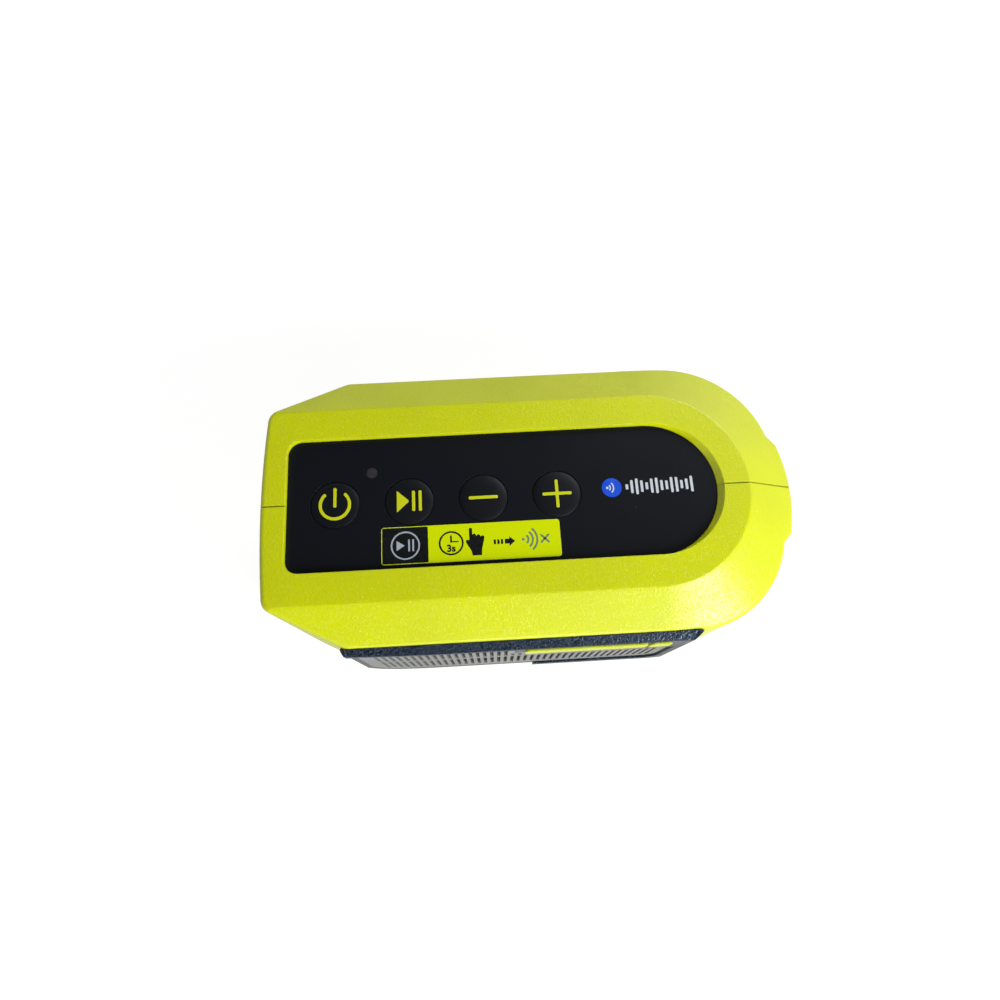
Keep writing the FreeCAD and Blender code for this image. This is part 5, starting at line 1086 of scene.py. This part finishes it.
connector_ivory = moulded(
    "connector_ivory", (0.72, 0.68, 0.56), (0.8, 0.77, 0.68), 0.45, pitch=2400, depth=0.00001,
    constants={"Subsurface Weight": 0.05},
)
coat(connector_ivory, "ribbon_connectors", "lead_connectors")

ribbon_white, shader, place = finish("ribbon_white", {"Coat Weight": 0.3, "Coat Roughness": 0.25})
across = node("SeparateXYZ", {0: place})[0]
conductors = maths("SINE", times(across, 2 * math.pi * 1000))
bands = spread(conductors, -0.2, 0.4)
dress(
    shader, between(bands, (0.78, 0.79, 0.8), (0.55, 0.56, 0.58)),
    follow(cloud(place, 300.0), 0.3, 0.45), relief(bands, 0.00004),
)
coat(ribbon_white, "ribbon_cable")

resin_black = moulded(
    "resin_black", (0.014, 0.014, 0.015), (0.05, 0.05, 0.05), 0.5, pitch=4200, depth=0.00001,
    ridges=0.1,
)
coat(resin_black, "amplifier_chip", "power_inductor", "terminal_block")

shield_tin = metal("shield_tin", (0.66, 0.67, 0.68), (0.5, 0.51, 0.53), 0.3, (1, 1, 5), 700.0)
sink_aluminium = metal(
    "sink_aluminium", (0.66, 0.67, 0.69), (0.52, 0.53, 0.55), 0.36, (1, 1, 9), 900.0
)
coat(shield_tin, "radio_module")
coat(sink_aluminium, "heat_sink")

capacitor_sleeve, shader, place = finish("capacitor_sleeve", {"Coat Weight": 0.3})
depth = node("SeparateXYZ", {0: place})[1]
bare = maths("LESS_THAN", depth, SLEEVE_END * MM)
shrink = cloud(place, 260.0, 3.0)
sleeve = between(shrink, (0.012, 0.016, 0.05), (0.03, 0.036, 0.09))
wire(shader["Metallic"], bare)
dress(
    shader, between(bare, sleeve, (0.7, 0.71, 0.72)), follow(shrink, 0.25, 0.42),
    relief(shrink, 0.00003),
)
coat(capacitor_sleeve, "capacitors")


def small_parts_tree():
    """A row of small soldered chips, each a dark body between two tinned ends."""
    tree, given, result = node_group(
        "small_parts_row",
        {
            "Count": "Int", "Start": "Vector", "Step": "Vector", "Turn": "Vector",
            "Length": "Float", "Width": "Float", "Height": "Float", "Seed": "Int",
            "Body": "Material", "Ends": "Material",
        },
        {"Geometry": "Geometry"}, "GeometryNodeTree",
    )

    def slab(share, growth, material):
        size = node("CombineXYZ", {
            0: times(given["Length"], share), 1: times(given["Width"], growth),
            2: times(given["Height"], growth),
        })[0]
        box = form("MeshCube", {"Size": size})
        return form("SetMaterial", {"Geometry": box, "Material": material})

    chip = tree.nodes.new("GeometryNodeJoinGeometry")
    wire(chip.inputs[0], slab(BODY_SHARE, BODY_GROWTH, given["Body"]))
    shift = times(given["Length"], (BODY_SHARE + END_SHARE) / 2)
    for side in (1.0, -1.0):
        away = node("CombineXYZ", {0: times(shift, side)})[0]
        end = {"Geometry": slab(END_SHARE, 1.0, given["Ends"]), "Translation": away}
        wire(chip.inputs[0], form("Transform", end))
    line = form("MeshLine", {
        "Count": given["Count"], "Start Location": given["Start"], "Offset": given["Step"],
    })
    size = node(
        "RandomValue", {2: 0.75, 3: 1.15, "Seed": given["Seed"]}, family="FunctionNode",
        data_type="FLOAT",
    )[1]
    row = form("InstanceOnPoints", {
        "Points": line, "Instance": chip.outputs[0], "Rotation": given["Turn"], "Scale": size,
    })
    wire(result[0], form("RealizeInstances", {0: row}))
    return tree


small_parts = small_parts_tree()
solder_tin = metal("solder_tin", (0.7, 0.7, 0.7), (0.5, 0.5, 0.51), 0.3, pitch=900.0)
length, width, height = PART_SIZE
for seed, (name, start, step, turn, count) in enumerate(PART_ROWS, 3):
    row = grow(
        name, small_parts, Count=count, Start=Vector(start) * MM, Step=Vector(step) * MM,
        Turn=turn, Length=length * MM, Width=width * MM, Height=height * MM, Seed=seed,
        Body=resin_black, Ends=solder_tin,
    )
    seat(row, "chip_black")


# ---- Leads ------------------------------------------------------------------------------------
# Stranded copper in soft coloured insulation: red and black from the battery blades to the main
# board, and two thin black ones from the board to the loudspeaker.

lead_red = moulded("lead_red", (0.42, 0.008, 0.008), (0.6, 0.1, 0.08), 0.38, pitch=1400, ridges=0.8)
lead_black = moulded(
    "lead_black", (0.012, 0.012, 0.012), (0.06, 0.06, 0.06), 0.4, pitch=1400, ridges=0.8
)
coat(lead_red, "positive_lead")
coat(lead_black, "negative_lead", "driver_leads")


# ---- Battery socket ---------------------------------------------------------------------------
# A deep black socket in the underside takes the battery's stem. Three tinned brass blades come
# down through its roof and a black block.

socket_black = moulded(
    "socket_black", (0.011, 0.012, 0.014), (0.05, 0.052, 0.056), 0.5, pitch=2200,
    rub=0.5, edge=0.0005,
)
smooth_skin("stem_socket", "battery_socket", socket_black, "socket_black")
blade_brass = metal("blade_brass", (0.75, 0.6, 0.3), (0.58, 0.45, 0.22), 0.26, (1, 1, 0.1), 1600.0)
coat(blade_brass, "contact_blades")


# ---- Screws -----------------------------------------------------------------------------------
# Cross-head screws of zinc-plated steel: six long ones through the rear shell, small ones for
# the bezel, the loudspeaker and the two boards.

screw_zinc = metal("screw_zinc", (0.56, 0.57, 0.6), (0.4, 0.41, 0.45), 0.32, pitch=1500.0, rub=0.8)
coat(
    screw_zinc, "housing_screws", "bezel_screws", "driver_screws", "key_board_screws",
    "main_board_screws",
)


# ---- Studio -----------------------------------------------------------------------------------
# A pale glowing floor that is clear from below, a white room that is darker overhead, and soft
# lamps at the front, the front right and the back right. The camera looks down from the front at
# the photograph's angle.

FLOOR_REACH, FLOOR_GAP = 3.0, 0.0001  # in metres, like all of the studio
FLOOR_GLOW, FLOOR_SHOWN = 0.42, 0.88  # its glow on the object, and as the camera sees it
CEILING = (0.25, 0.5)  # where the white room turns dark, as the height of a view upward
ROOM_WHITE, ROOM_DARK = (1, 1, 1), (0.05, 0.05, 0.055)
LAMP_AIM = Vector((0, 0, 0.05))
LENS_LENGTH, FILM_WIDTH = 26.32, 36  # in millimetres
CAMERA_PLACE = Matrix((  # its turn and its place
    (0.99838, 0.05175, -0.02385, -0.013465),
    (-0.05656, 0.95081, -0.30455, -0.06090),
    (0.00692, 0.30541, 0.95220, 0.25657),
    (0, 0, 0, 1),
))
LAMPS = [  # name, place, size and power
    ("front_right_lamp", (0.39, -0.37, 0.42), 0.17, 3.5),
    ("front_lamp", (0.18, -0.78, 0.3), 0.5, 3.6),
    ("back_right_lamp", (0.36, 0.45, 0.46), 0.4, 2.2),
]

floor_paper, shader, place = finish("floor_paper")
shader["Emission Color"].default_value = (1, 1, 1, 1)
fibres = cloud(place, 160.0, 3.0)
wire(shader["Base Color"], between(fibres, (0.23, 0.23, 0.23), (0.21, 0.21, 0.21)))
wire(shader["Roughness"], spread(fibres, 0, 1, 0.8, 0.95))
to_camera = node("LightPath", {}, floor_paper.node_tree)["Is Camera Ray"]
wire(shader["Emission Strength"], spread(to_camera, 0, 1, FLOOR_GLOW, FLOOR_SHOWN))
from_below = node("NewGeometry", {}, floor_paper.node_tree)["Backfacing"]
wire(shader["Alpha"], maths("SUBTRACT", 1.0, from_below))
mesh = bpy.data.meshes.new("floor")
corners = [(-1, -1), (1, -1), (1, 1), (-1, 1)]
spots = [(x * FLOOR_REACH, y * FLOOR_REACH, -FLOOR_GAP) for x, y in corners]
mesh.from_pydata(spots, [], [(0, 1, 2, 3)])
paint(mesh, floor_paper)
put("floor", mesh)

room = bpy.data.worlds.new("room")
bpy.context.scene.world = room
room.use_nodes = True
upward = node("SeparateXYZ", {0: node("TexCoord", {}, room.node_tree)["Generated"]})[2]
background = room.node_tree.nodes["Background"].inputs
wire(background["Color"], between(spread(upward, *CEILING), ROOM_WHITE, ROOM_DARK))
background["Strength"].default_value = 1.0

for name, place, size, power in LAMPS:
    lamp = bpy.data.lights.new(name, "AREA")
    lamp.size = size
    lamp.energy = power
    stand = put(name, lamp)
    stand.location = place
    stand.rotation_euler = (LAMP_AIM - Vector(place)).to_track_quat("-Z", "Y").to_euler()

lens = bpy.data.cameras.new("view")
lens.lens = LENS_LENGTH
lens.sensor_width = FILM_WIDTH
camera = put("view", lens)
camera.matrix_world = CAMERA_PLACE
bpy.context.scene.camera = camera
bpy.context.scene.view_settings.view_transform = "Standard"
